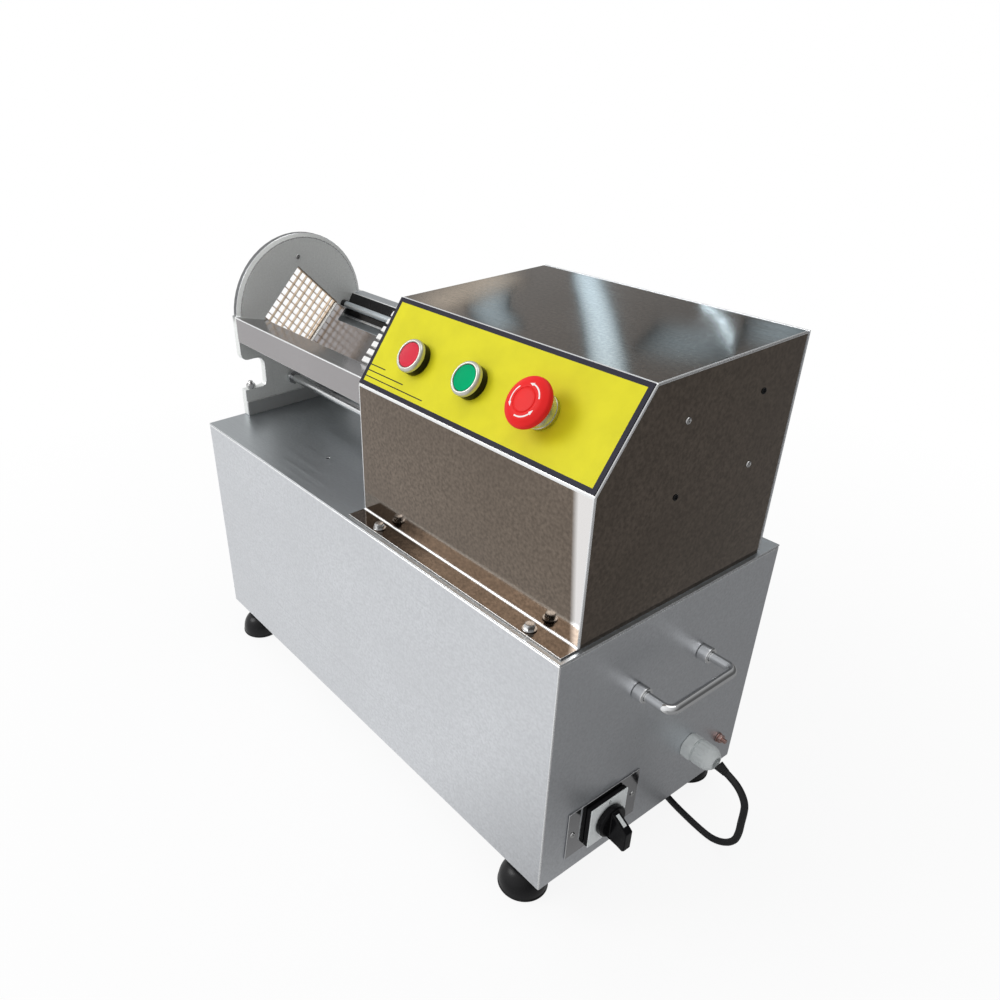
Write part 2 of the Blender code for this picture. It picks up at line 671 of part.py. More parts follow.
def build_controls(panel):
    """The yellow overlay, two push buttons and the emergency stop."""
    length = HOUSING_END_X - HOUSING_X
    low, high = OVERLAY_MARGIN, SLOPE_LENGTH - OVERLAY_MARGIN
    film = box((OVERLAY_MARGIN, low, GAP), (length - OVERLAY_MARGIN, high, GAP + OVERLAY_SHEET))
    holes = []
    for x in (JOG_X, AUTO_X, ESTOP_X):
        hole = pin(BUTTON_HOLE_RADIUS, -OVERLAY_SHEET, 3 * OVERLAY_SHEET, 18)
        holes.append(moved(hole, x, BUTTON_UP_FACE))
    piece("control_overlay", cut(film, joined(holes)), YELLOW_FILM, panel)

    seat = OVERLAY_SHEET + 2 * GAP
    inner = -HOUSING_SHEET - 0.004
    collar_top = seat + COLLAR_HEIGHT
    bezel_top = collar_top + GAP + BEZEL_HEIGHT
    cap_top = bezel_top - 0.0006
    half = CONTACT_WIDTH / 2
    for label, x, finish in (("jog", JOG_X, RED_PLASTIC), ("auto", AUTO_X, GREEN_PLASTIC)):
        place = (x, BUTTON_UP_FACE, 0)
        body = [
            (0.0072, inner), (BARREL_RADIUS, inner), (BARREL_RADIUS, seat), (COLLAR_RADIUS, seat),
            (COLLAR_RADIUS, collar_top), (0.0072, collar_top),
        ]
        contacts = box((-half, -half, inner - CONTACT_DEPTH), (half, half, inner + 0.001))
        piece(label + "_button_body", fused(turned(body, 18), contacts), BLACK_PLASTIC, panel, place)
        bezel = [
            (CAP_RADIUS + 0.0004, collar_top + GAP), (BEZEL_RADIUS, collar_top + GAP),
            (BEZEL_RADIUS, bezel_top - 0.0012), (BEZEL_RADIUS - 0.0012, bezel_top),
            (CAP_RADIUS + 0.0004, bezel_top),
        ]
        piece(label + "_button_bezel", turned(bezel, 18), BRIGHT_STEEL, panel, place)
        foot = collar_top - 0.0010
        cap = [
            (0, foot), (0.0066, foot), (0.0066, foot + BUTTON_TRAVEL + 0.0016),
            (CAP_RADIUS, foot + BUTTON_TRAVEL + 0.0016), (CAP_RADIUS, cap_top - 0.0004),
            (CAP_RADIUS - 0.0006, cap_top), (0, cap_top),
        ]
        piece(label + "_button_cap", turned(cap, 18), finish, panel, place)

    place = (ESTOP_X, BUTTON_UP_FACE, 0)
    collar_top = seat + ESTOP_COLLAR_HEIGHT
    body = [
        (ESTOP_STEM_RADIUS + GAP, inner), (BARREL_RADIUS, inner), (BARREL_RADIUS, seat), (0.0145, seat),
        (0.0145, seat + 0.0035), (0.0120, collar_top), (ESTOP_STEM_RADIUS + GAP, collar_top),
    ]
    piece("estop_body", turned(body, 18), BRIGHT_STEEL, panel, place)
    cap_low = collar_top + ESTOP_TRAVEL + 0.0012
    stem_low = -HOUSING_SHEET + 0.0006
    stem = [
        (0, stem_low), (ESTOP_STEM_RADIUS, stem_low), (ESTOP_STEM_RADIUS, cap_low - GAP),
        (0.0040, cap_low - GAP),
        (0.0040, cap_low + 0.0030), (0, cap_low + 0.0030),
    ]
    piece("estop_stem", turned(stem, 18), BLACK_PLASTIC, panel, place)
    top = cap_low + MUSHROOM_HEIGHT
    crown = [
        (0, cap_low + 0.0030 + GAP), (0.0040 + GAP, cap_low + 0.0030 + GAP), (0.0040 + GAP, cap_low),
        (MUSHROOM_RADIUS - 0.0035, cap_low), (MUSHROOM_RADIUS - 0.0006, cap_low + 0.0022),
        (MUSHROOM_RADIUS, cap_low + 0.0045), (MUSHROOM_RADIUS - 0.0010, cap_low + 0.0072),
        (MUSHROOM_RADIUS - 0.0050, top - 0.0008), (0.0085, top), (0, top),
    ]
    piece("estop_mushroom", turned(crown, 20), RED_PLASTIC, panel, place)

    face = inner - GAP
    contacts = box((-half, -half, face - CONTACT_DEPTH), (half, half, face))
    piece("estop_contacts", contacts, BLACK_PLASTIC, panel, place)


# Cutting head, in the deck's frame except the grid, whose frame is turned by an eighth about X

def head_outline(radius):
    """The head seen along X, with its crown at a radius."""
    ear_start = math.degrees(math.asin((HEAD_EAR_TOP - HEAD_CENTRE_Z) / radius))
    right = [(HEAD_FOOT, GAP), (HEAD_FOOT, HEAD_FOOT_HEIGHT)]
    right += arc((HEAD_NECK + 0.006, HEAD_FOOT_HEIGHT + 0.006), 0.006, 270, 180, 3)
    right += arc((HEAD_NECK + 0.010, HEAD_EAR_BOTTOM - 0.010), 0.010, 180, 90, 4)
    right += arc((HEAD_EAR - 0.009, HEAD_EAR_BOTTOM + 0.009), 0.009, -90, 0, 4)
    right.append((HEAD_EAR, HEAD_EAR_TOP))
    crown = arc((0, HEAD_CENTRE_Z), radius, ear_start, 180 - ear_start, 28)
    left = [(-a, b) for a, b in reversed(right)]
    return [(LINE_Y + a, b) for a, b in right + crown + left]


def square(side):
    """A square outline about the origin."""
    half = side / 2
    return [(-half, -half), (half, -half), (half, half), (-half, half)]


def frame_screw_places():
    """The blade frame's four screws, as offsets from the cutting line."""
    return [
        (0, FRAME_SCREW_TOP), (0, -FRAME_SCREW_TOP),
        (FRAME_SCREW_SIDE, -FRAME_SCREW_DROP), (-FRAME_SCREW_SIDE, -FRAME_SCREW_DROP),
    ]


def eighth(shape):
    """The shape turned by an eighth about the cutting line, then moved onto it."""
    shape.transform(Matrix.Translation((0, LINE_Y, LINE_Z)) @ Matrix.Rotation(math.radians(45), 4, "X"))
    return shape


def build_head(machine, grid):
    """The cast head and its studs, the blade frame in its pocket and two crossed layers of blades."""
    t = HEAD_THICKNESS
    full = head_outline(HEAD_RADIUS)
    drawn_in = head_outline(HEAD_RADIUS - HEAD_BEVEL)
    casting = lofted([(0, full), (t - HEAD_BEVEL_DEPTH, full), (t, drawn_in)])
    bar = box((t / 2, LINE_Y - HEAD_FOOT, GAP), (t + HEAD_BAR_PROUD, LINE_Y + HEAD_FOOT, HEAD_BAR_HEIGHT))
    casting = fused(casting, bar)
    frame_side = GRID_SIDE + 2 * FRAME_BORDER
    window = prism(square(GRID_SIDE), -t, 2 * t)
    pocket = prism(square(frame_side + 2 * GAP), -t, t - HEAD_LIP)
    casting = cut(casting, eighth(fused(window, pocket)))
    holes = []
    for x, y in head_stud_places():
        holes.append(moved(pin(HEAD_STUD_RADIUS + GAP, -0.001, HEAD_FOOT_HEIGHT + 0.002, 12), x, y))
    for offset in (-TIE_ROD_OFFSET, TIE_ROD_OFFSET):
        holes.append(moved(pin(TIE_ROD_RADIUS + GAP, -t, 2 * t, 16, "X"), 0, LINE_Y + offset, TIE_ROD_Z))
    for a, b in frame_screw_places():
        holes.append(moved(pin(0.0023, -t, 2 * t, 12, "X"), 0, LINE_Y + a, LINE_Z + b))
    piece("head_casting", cut(casting, joined(holes)), CAST_ALUMINIUM, machine)

    low = -(CABINET_SHEET + DECK_SHEET + 2 * GAP + 0.006)
    seat = HEAD_FOOT_HEIGHT + GAP
    for name, (x, y) in zip(("head_stud_front", "head_stud_rear"), head_stud_places()):
        stud = fused(pin(HEAD_STUD_RADIUS, low, seat + 0.0085, 12), pin(0.0058, seat, seat + 0.0050, 6))
        piece(name, stud, BRIGHT_STEEL, machine, (x, y, 0))

    start, end = GAP, t - HEAD_LIP - GAP
    rim = prism(square(frame_side), start, end)
    rim = cut(rim, prism(square(GRID_SIDE), -t, 2 * t))
    holes = []
    for a, b in frame_screw_places():
        spot = Matrix.Rotation(math.radians(-45), 4, "X") @ Vector((0, a, b))
        holes.append(moved(pin(0.0023, -t, 2 * t, 12, "X"), 0, spot.y, spot.z))
    piece("blade_frame", cut(rim, joined(holes)), BRIGHT_STEEL, grid)

    for name, face, turn in (("blades_rising", start, 0), ("blades_falling", start + BLADE_DEPTH + GAP, 90)):
        comb = blade_comb(face)
        comb.transform(Matrix.Rotation(math.radians(turn), 4, "X"))
        piece(name, comb, BLADE_STEEL, grid)


def blade_comb(face):
    """One layer of upright blades, joined by a thin rail across their ends."""
    half = GRID_SIDE / 2 - GAP
    comb = box((face, -half, -half), (face + BLADE_DEPTH, half, half))
    reach = half - BLADE_RAIL
    gaps = []
    for k in range(CELLS):
        left = k * CELL - GRID_SIDE / 2 + BLADE_THICKNESS / 2
        right = left + CELL - BLADE_THICKNESS
        if k == 0:
            left -= BLADE_THICKNESS
        if k == CELLS - 1:
            right += BLADE_THICKNESS
        gaps.append(box((face - 0.001, left, -reach), (face + BLADE_DEPTH + 0.001, right, reach)))
    return cut(comb, joined(gaps))


# Trough, side channel and rods

def build_trough(machine):
    """The V-trough with its near skirt, the channel on its far side, its lining and the rail."""
    start, end = HEAD_THICKNESS + HEAD_BAR_PROUD + GAP, HOUSING_X - GAP
    low = TROUGH_BOTTOM_Z
    near = [
        (LINE_Y - TROUGH_HALF, TROUGH_EDGE_Z - TROUGH_SKIRT),
        (LINE_Y - TROUGH_HALF, TROUGH_EDGE_Z),
        (LINE_Y - TROUGH_NEAR_RISE, low + TROUGH_NEAR_RISE),
        (LINE_Y, low),
    ]
    wall = near + [(LINE_Y + TROUGH_FAR_RISE, low + TROUGH_FAR_RISE)]
    trough_start = HEAD_THICKNESS + GAP
    sheet = prism(folded(wall, TROUGH_SHEET), trough_start, end)
    tab_line = [
        (LINE_Y + TROUGH_FAR_RISE - 0.004, low + TROUGH_FAR_RISE - 0.004),
        (LINE_Y + TROUGH_NEAR_RISE, low + TROUGH_NEAR_RISE),
    ]
    tab = prism(folded(tab_line, TROUGH_SHEET), trough_start, trough_start + TROUGH_TAB_LENGTH)
    piece("trough_sheet", fused(sheet, tab), MIRROR_STEEL, machine)

    t = TROUGH_SHEET
    floor_z = low + TROUGH_FAR_RISE - 2.6 * t
    channel = [
        (LINE_Y + TROUGH_FAR_RISE - 0.0015, floor_z),
        (LINE_Y + CHANNEL_FLOOR, floor_z + 0.001),
        (LINE_Y + CHANNEL_LIP, TROUGH_EDGE_Z),
        (LINE_Y + TROUGH_HALF, TROUGH_EDGE_Z),
        (LINE_Y + TROUGH_HALF, TROUGH_EDGE_Z - TROUGH_SKIRT),
    ]
    piece("side_channel", prism(folded(channel, t), trough_start, end), STAINLESS, machine)

    foot, top = Vector(channel[1]), Vector(channel[2])
    slant = (top - foot).normalized()
    out = Vector((-slant.y, slant.x))
    first = foot + slant * 0.0025 + out * GAP
    last = top - slant * 0.0010 + out * GAP
    strip = [tuple(first), tuple(last), tuple(last + out * LINING_SHEET), tuple(first + out * LINING_SHEET)]
    piece("channel_lining", prism(strip, trough_start + 0.001, end - 0.001), BLACK_RUBBER, machine)

    rail = pin(RAIL_RADIUS, HEAD_THICKNESS + GAP, end, 14, "X")
    piece("side_rail", rail, BRIGHT_STEEL, machine, (0, LINE_Y + RAIL_OFFSET, RAIL_Z))


def build_tie_rods(machine):
    """Two rods that tie the head to the drive frame, with a nut at each end."""
    behind = PLATE_X + PLATE_THICKNESS + GAP
    end = behind + NUT_HEIGHT + 0.0015
    for name, offset in (("tie_rod_front", -TIE_ROD_OFFSET), ("tie_rod_rear", TIE_ROD_OFFSET)):
        rod = pin(TIE_ROD_RADIUS, -(NUT_HEIGHT + GAP), end, 16, "X")
        nuts = [
            pin(0.0092, -(NUT_HEIGHT + GAP), -GAP, 6, "X"),
            pin(0.0092, HEAD_THICKNESS + GAP, HEAD_THICKNESS + 0.0055, 6, "X"),
            pin(0.0092, behind, behind + NUT_HEIGHT, 6, "X"),
        ]
        piece(name, fused(rod, *nuts), BRIGHT_STEEL, machine, (0, LINE_Y + offset, TIE_ROD_Z))


# Drive: the frame, the ram and its rack, the pinion on its shaft, gearbox and motor

def tooth_outline(first_root, count):
    """Rack teeth as (x, z) points hanging below the rack's root line, for a whole number of teeth."""
    points = []
    tip, root = RACK_BOTTOM_Z, PITCH_Z + 1.25 * MODULE
    for k in range(count):
        middle = first_root + (k + 0.5) * PITCH
        for side in (-1, 1):
            pairs = [(0.36 * PITCH, root), (0.12 * PITCH, tip)]
            for reach, z in (pairs if side < 0 else reversed(pairs)):
                points.append((middle + side * reach, z))
    return points


def pinion_shape():
    """A spur pinion on its shaft about the Y axis, with a tooth gap at its top for the rack tooth."""
    outline = []
    root, tip = PINION_RADIUS - 1.25 * MODULE, PINION_RADIUS + 0.9 * MODULE
    step = 2 * math.pi / PINION_TEETH
    for k in range(PINION_TEETH):
        middle = math.pi / 2 + (k + 0.5) * step
        for share, radius in ((-0.33, root), (-0.10, tip), (0.10, tip), (0.33, root)):
            a = middle + share * step
            outline.append((radius * math.cos(a), radius * math.sin(a)))
    wheel = prism(outline, -PINION_WIDTH / 2, PINION_WIDTH / 2, "Y")
    near, far = -PLATE_HALF - 0.003, GEARBOX_OFFSET + 0.040
    return fused(wheel, pin(SHAFT_RADIUS, near, far, 20, "Y"))


def build_frame(machine):
    """The drive frame, the ram's guide with its bronze liner, and the shaft's near bearing."""
    x0, x1 = PLATE_X, PLATE_X + PLATE_THICKNESS
    outline = [(x0, GAP), (FRAME_END_X, GAP), (FRAME_END_X, BASE_THICKNESS)]
    outline += [(x1, BASE_THICKNESS), (x1, PLATE_TOP), (x0, PLATE_TOP)]
    frame = prism(outline, LINE_Y - PLATE_HALF - 0.002, LINE_Y + GEARBOX_OFFSET - 0.001, "Y")
    half = RAM_SIDE / 2 + 0.001
    wall = (x0 - 0.01, x1 + 0.01)
    low = RACK_BOTTOM_Z - 0.0015
    holes = [box((wall[0], LINE_Y - half, low), (wall[1], LINE_Y + half, LINE_Z + half))]
    for offset in (-TIE_ROD_OFFSET, TIE_ROD_OFFSET):
        holes.append(moved(pin(TIE_ROD_RADIUS + GAP, *wall, 16, "X"), 0, LINE_Y + offset, TIE_ROD_Z))
    piece("drive_frame", cut(frame, joined(holes)), PAINTED_IRON, machine)

    guide_x = x1 + GAP
    side = RAM_SIDE / 2
    cave = side + GAP * 2 + PAD
    slot = RACK_WIDTH / 2 + 0.0015
    outer = cave + GUIDE_WALL
    lip = RACK_TOP_Z - PAD - 3 * GAP
    low = RACK_BOTTOM_Z + 0.0055
    outline = [
        (-outer, low), (-slot, low), (-slot, lip), (-cave, lip),
        (-cave, LINE_Z + cave), (cave, LINE_Z + cave),
        (cave, lip), (slot, lip), (slot, low), (outer, low), (outer, LINE_Z + cave + GUIDE_WALL),
        (-outer, LINE_Z + cave + GUIDE_WALL),
    ]
    guide = prism([(LINE_Y + a, b) for a, b in outline], guide_x, FRAME_END_X)
    piece("ram_guide", guide, CAST_ALUMINIUM, machine)

    near, far = side + GAP, side + GAP + PAD
    outline = [
        (-far, -far), (-slot, -far), (-slot, -near), (-near, -near), (-near, near), (near, near),
        (near, -near), (slot, -near), (slot, -far), (far, -far), (far, far), (-far, far),
    ]
    liner = prism([(LINE_Y + a, LINE_Z + b) for a, b in outline], guide_x + 0.001, FRAME_END_X - 0.001)
    piece("guide_liner", liner, BRASS, machine)

    y0 = LINE_Y - PLATE_HALF - 0.001
    block = [(-0.022, BASE_THICKNESS + GAP), (0.018, BASE_THICKNESS + GAP), (0.018, SHAFT_Z)]
    block += [(a, SHAFT_Z + b) for a, b in arc((0, 0), 0.018, 15, 165, 8)]
    block += [(-0.018, SHAFT_Z), (-0.022, BASE_THICKNESS + 0.010)]
    bearing = prism([(PINION_X + a, b) for a, b in block], y0, y0 + BEARING_WIDTH, "Y")
    bore = pin(SHAFT_RADIUS + GAP, y0 - 0.01, y0 + BEARING_WIDTH + 0.01, 20, "Y")
    bore = moved(bore, PINION_X, 0, SHAFT_Z)
    piece("shaft_bearing", cut(bearing, bore), CAST_ALUMINIUM, machine)


def build_ram(machine):
    """The pusher with its pegs, the square ram behind it and the rack under the ram."""
    centre = (PUSHER_REST_X + PEG_LENGTH, LINE_Y, LINE_Z)
    plate_half = GRID_SIDE / 2
    pusher = box((0, -plate_half, -plate_half), (PUSHER_PLATE, plate_half, plate_half))
    pegs = []
    for row in range(CELLS):
        for column in range(CELLS):
            y = (row - (CELLS - 1) / 2) * CELL
            z = (column - (CELLS - 1) / 2) * CELL
            pegs.append(box((-PEG_LENGTH, y - PEG / 2, z - PEG / 2), (0.001, y + PEG / 2, z + PEG / 2)))
    pusher = fused(pusher, joined(pegs))
    pusher.transform(Matrix.Rotation(math.radians(45), 4, "X"))
    piece("pusher_block", pusher, PUSHER_WHITE, machine, centre)

    side = RAM_SIDE / 2
    start = RAM_START_X - centre[0]
    bar = box((start, -side, -side), (RAM_END_X - centre[0], side, side))
    wide = RAM_FLANGE_SIDE / 2
    flange = prism(square(2 * wide), start, start + RAM_FLANGE)
    flange.transform(Matrix.Rotation(math.radians(45), 4, "X"))
    piece("ram_bar", fused(bar, flange), BRIGHT_STEEL, machine, centre)

    count = math.ceil((STROKE + 2 * RACK_OVERRUN) / PITCH)
    count += 1 - count % 2
    first = PINION_X - (math.floor(RACK_OVERRUN / PITCH) + 0.5) * PITCH
    teeth = tooth_outline(first, count)
    half = RACK_WIDTH / 2
    body = [(first, PITCH_Z + 1.25 * MODULE)] + teeth + [(first + count * PITCH, PITCH_Z + 1.25 * MODULE)]
    body += [(first + count * PITCH, RACK_TOP_Z), (first, RACK_TOP_Z)]
    rack = prism([(a - centre[0], b - centre[2]) for a, b in body], -half, half, "Y")
    piece("ram_rack", rack, GEAR_STEEL, machine, centre)


def build_gearing(machine):
    """The pinion and its shaft, the right-angle gearbox and the motor hanging under the deck."""
    axis = (PINION_X, LINE_Y, SHAFT_Z)
    piece("pinion_shaft", pinion_shape(), GEAR_STEEL, machine, axis)

    y0 = LINE_Y + GEARBOX_OFFSET
    y1 = y0 + GEARBOX_WIDTH
    r = GEARBOX_RADIUS
    right = PINION_X + WORM_OFFSET + 0.020
    outline = [(PINION_X - r, GAP), (right, GAP), (right, SHAFT_Z + 0.036), (PINION_X + r, SHAFT_Z + 0.036)]
    outline += [(PINION_X + a, SHAFT_Z + b) for a, b in arc((0, 0), r, 60, 180, 8)]
    case = prism(outline, y0, y1, "Y")
    bore = moved(pin(SHAFT_RADIUS + GAP, y0 - 0.01, y0 + 0.041, 20, "Y"), PINION_X, 0, SHAFT_Z)
    boss = moved(pin(0.022, y1 - 0.001, y1 + 0.006, 20, "Y"), PINION_X, 0, SHAFT_Z)
    well = pin(MOTOR_SHAFT_RADIUS + GAP, -0.005, MOTOR_SHAFT_REACH + 0.001)
    well = moved(well, PINION_X + WORM_OFFSET, MOTOR_Y)
    piece("gearbox", cut(fused(case, boss), bore, well), PAINTED_IRON, machine)

    top = -(DECK_SHEET + GAP)
    x, y = PINION_X + WORM_OFFSET, MOTOR_Y
    profile = [
        (0, top), (MOTOR_RADIUS + 0.008, top), (MOTOR_RADIUS + 0.008, top - 0.010),
        (MOTOR_RADIUS, top - 0.012), (MOTOR_RADIUS, top - MOTOR_LENGTH + 0.006),
        (MOTOR_RADIUS - 0.006, top - MOTOR_LENGTH), (0, top - MOTOR_LENGTH),
    ]
    motor = moved(fused(turned(profile, 20), pin(MOTOR_SHAFT_RADIUS, top - 0.002, MOTOR_SHAFT_REACH)), x, y)
    box_y = y - MOTOR_RADIUS
    lid = box((x - 0.030, box_y - 0.030, top - 0.110), (x + 0.030, box_y + 0.012, top - 0.040))
    piece("gear_motor", fused(motor, lid), PAINTED_IRON, machine)


def build_control_box(machine):
    """The box behind the housing's end wall, on a plate held by four screws through that wall."""
    face = HOUSING_END_X - HOUSING_SHEET - GAP
    y0, y1 = BOX_SCREW_Y[0] - 0.008, BOX_SCREW_Y[1] + 0.008
    z0, z1 = BOX_SCREW_Z[0] - 0.008, BOX_SCREW_Z[1] + 0.008
    plate = box((face - BOX_PLATE, y0, z0), (face, y1, z1))
    holes = []
    for y, z in box_screw_places():
        holes.append(moved(pin(0.0021 + GAP, face - 2 * BOX_PLATE, face + BOX_PLATE, 12, "X"), 0, y, z))
    back = face - BOX_PLATE
    left = LINE_Y + RAM_SIDE / 2 + 0.008
    case = box((back - BOX_DEPTH, left, z0), (back + BOX_PLATE / 2, BOX_SCREW_Y[1] - 0.006, z1))
    piece("control_box", fused(cut(plate, joined(holes)), case), GREY_PLASTIC, machine)


# Right end face

def build_selector(machine):
    """The rotary switch: its mirror plate, the body with its cam block inside, the dial and the knob."""
    face = CABINET_LENGTH + GAP
    half_w, half_h = SELECTOR_PLATE_WIDTH / 2, SELECTOR_PLATE_HEIGHT / 2
    centre = (0, SELECTOR_Y, SELECTOR_Z)
    plate = box((face, -half_w, -half_h), (face + SELECTOR_PLATE, half_w, half_h))
    holes = [pin(0.0145, face - 0.002, face + 0.004, 24, "X")]
    for y in selector_screw_places():
        holes.append(moved(pin(0.0019, face - 0.002, face + 0.004, 12, "X"), 0, y - SELECTOR_Y))
    piece("selector_plate", cut(plate, joined(holes)), MIRROR_STEEL, machine, centre)

    half = SELECTOR_SIDE / 2
    x0 = face + SELECTOR_PLATE + GAP
    x1 = x0 + SELECTOR_BODY
    back = CABINET_LENGTH - 0.012
    cam = SELECTOR_CAM_SIDE / 2
    body = box((x0, -half, -half), (x1, half, half))
    body = fused(body, pin(SELECTOR_NECK_RADIUS, back, x0 + 0.001, 24, "X"))
    body = fused(body, box((back - SELECTOR_CAM_DEPTH, -cam, -cam), (back + 0.001, cam, cam)))
    body = cut(body, pin(0.0050, back - 0.001, x1 + 0.01, 16, "X"))
    piece("selector_body", body, BLACK_PLASTIC, machine, centre)
    x2 = x1 + GAP
    dial = box((x2, -half, -half), (x2 + SELECTOR_DIAL, half, half))
    dial = cut(dial, pin(0.0050, x1 - 0.002, x2 + 0.01, 16, "X"))
    piece("selector_dial", dial, PALE_PLASTIC, machine, centre)

    x3 = KNOB_SEAT_X
    disc = turned([
        (0, CABINET_LENGTH - 0.010), (0.0046, CABINET_LENGTH - 0.010), (0.0046, x3), (KNOB_RADIUS, x3),
        (KNOB_RADIUS, x3 + KNOB_DISC - 0.0015), (KNOB_RADIUS - 0.0015, x3 + KNOB_DISC), (0, x3 + KNOB_DISC),
    ], 24, "X")
    reach = x3 + KNOB_GRIP_REACH
    low = x3 + KNOB_DISC - 0.002
    grip = [(low, 0.0160), (reach - 0.004, 0.0050), (reach, 0.0020)]
    grip += [(reach, -0.0190), (reach - 0.002, -0.0210), (low, -0.0165)]
    handle = prism(grip, -KNOB_GRIP_WIDTH / 2, KNOB_GRIP_WIDTH / 2, "Y")
    piece("selector_knob", fused(disc, handle), BLACK_PLASTIC, machine, centre)


def handle_line():
    """The handle bar's line: two legs and a bar, with round bends."""
    start, reach = CABINET_LENGTH + 0.0030, CABINET_LENGTH + HANDLE_REACH - HANDLE_RADIUS
    y0, y1 = handle_places()
    r = HANDLE_BEND
    points = [(start, y0)]
    points += arc((reach - r, y0 + r), r, -90, 0, 6)
    points += arc((reach - r, y1 - r), r, 0, 90, 6)
    points.append((start, y1))
    return [(x, y, HANDLE_Z) for x, y in points]


def build_handle(machine):
    """The chrome carrying handle and its two ferrules, each with its screw through the wall."""
    piece("handle_bar", along(handle_line(), HANDLE_RADIUS, 2), CHROME, machine)
    face = CABINET_LENGTH + GAP
    inner = HANDLE_RADIUS + GAP
    seat = CABINET_LENGTH - CABINET_SHEET - GAP
    for name, y in zip(("handle_ferrule_front", "handle_ferrule_rear"), handle_places()):
        profile = [
            (0, seat - 0.0060), (0.0055, seat - 0.0060), (0.0055, seat), (0.0031, seat), (0.0031, face),
            (FERRULE_RADIUS, face), (FERRULE_RADIUS, face + FERRULE_LENGTH - 0.001),
            (FERRULE_RADIUS - 0.001, face + FERRULE_LENGTH), (inner, face + FERRULE_LENGTH),
            (inner, face + 0.0022), (0, face + 0.0022),
        ]
        piece(name, turned(profile, 14, "X"), CHROME, machine, (0, y, HANDLE_Z))


def build_gland(machine):
    """The cable gland with its lock nut, and the earth screw beside it."""
    face = CABINET_LENGTH + GAP
    end = CABINET_LENGTH + GLAND_LENGTH
    centre = (0, GLAND_Y, GLAND_Z)
    inside = CABINET_LENGTH - CABINET_SHEET - 0.010
    dome = turned([
        (0, inside), (0.0095, inside), (0.0095, face), (0.0135, face), (0.0135, face + GLAND_FLANGE),
        (0.0115, face + GLAND_FLANGE + 0.0004), (0.0115, face + GLAND_FLANGE + 0.0014),
        (0.0130, face + GLAND_FLANGE + 0.0018),
        (0.0130, end - 0.010), (0.0117, end - 0.005), (0.0085, end - 0.0012), (0.0068, end), (0, end),
    ], 16, "X")
    seat = CABINET_LENGTH - CABINET_SHEET - GAP
    nut = pin(0.0150, seat - 0.006, seat, 6, "X")
    piece("cable_gland", fused(dome, nut), GREY_PLASTIC, machine, centre)

    rod = pin(0.0025, seat - 0.0070, face + 0.0095, 12, "X")
    rings = [
        pin(0.0055, face, face + 0.0012, 14, "X"), pin(0.0050, face + 0.0010, face + 0.0050, 6, "X"),
        pin(0.0045, seat - 0.0040, seat, 6, "X"),
    ]
    piece("earth_screw", fused(rod, *rings), BRASS, machine, (0, EARTH_Y, EARTH_Z))


# Mains cord, on the floor's frame

def cord_sleeve_end():
    """Where the cord's bend sleeve ends, and the way that it points."""
    tilt = math.radians(18)
    way = Vector((math.cos(tilt), 0, -math.sin(tilt)))
    start = Vector((CABINET_LENGTH + GLAND_LENGTH - MIDDLE_X, GLAND_Y - MIDDLE_Y, GLAND_Z + DECK_Z))
    return start, way


CORD_ROUTE = [
    (0.3418, 0.0590, 0.0933), (0.3488, 0.0592, 0.0862), (0.3534, 0.0594, 0.0773), (0.3550, 0.0597, 0.0674),
    (0.3550, 0.0602, 0.0525), (0.3550, 0.0607, 0.0380), (0.3524, 0.0611, 0.0250), (0.3450, 0.0615, 0.0140),
    (0.3340, 0.0619, 0.0066), (0.3210, 0.0625, 0.0041), (0.2960, 0.0655, 0.0040), (0.2700, 0.0705, 0.0040),
    (0.2440, 0.0785, 0.0040), (0.2200, 0.0905, 0.0040), (0.1980, 0.1080, 0.0040), (0.1770, 0.1285, 0.0040),
    (0.1540, 0.1475, 0.0041), (0.1290, 0.1600, 0.0044),
]


def smooth_line(points, step):
    """Points every step or so along a smooth curve through the given ones (Catmull-Rom)."""
    knots = [Vector(p) for p in points]
    knots = [2 * knots[0] - knots[1]] + knots + [2 * knots[-1] - knots[-2]]
    line = []
    for a, b, c, d in zip(knots, knots[1:], knots[2:], knots[3:]):
        count = max(1, round((c - b).length / step))
        for k in range(count):
            t = k / count
            line.append(0.5 * (2 * b + (c - a) * t + (2 * a - 5 * b + 4 * c - d) * t ** 2
                               + (3 * b - a - 3 * c + d) * t ** 3))
    line.append(knots[-2])
    return line


def coil_edge():
    """How far to each side of the coil's middle a straight run of its outer turn meets the coil."""
    outside = COIL_RADIUS + COIL_HALF_WIDTH
    return math.sqrt(outside ** 2 - (outside - 2 * CORD_RADIUS) ** 2) + GAP


PLUG_X = COIL_CENTRE[0] - coil_edge() - 0.055
RUN_Y = COIL_CENTRE[1] - COIL_RADIUS - COIL_HALF_WIDTH + CORD_RADIUS


def tail_line():
    """The stretch from the coil's upper outer turn to the plug, with level ends."""
    start = COIL_CENTRE[0] - coil_edge()
    end = PLUG_X + GAP
    low, high = COIL_BOTTOM + COIL_HEIGHT - CORD_RADIUS, PLUG_RADIUS + GAP
    steps = 6
    line = []
    for k in range(steps + 1):
        share = k / steps
        rise = 3 * share ** 2 - 2 * share ** 3
        line.append((start + (end - start) * share, RUN_Y, low + (high - low) * rise))
    return line


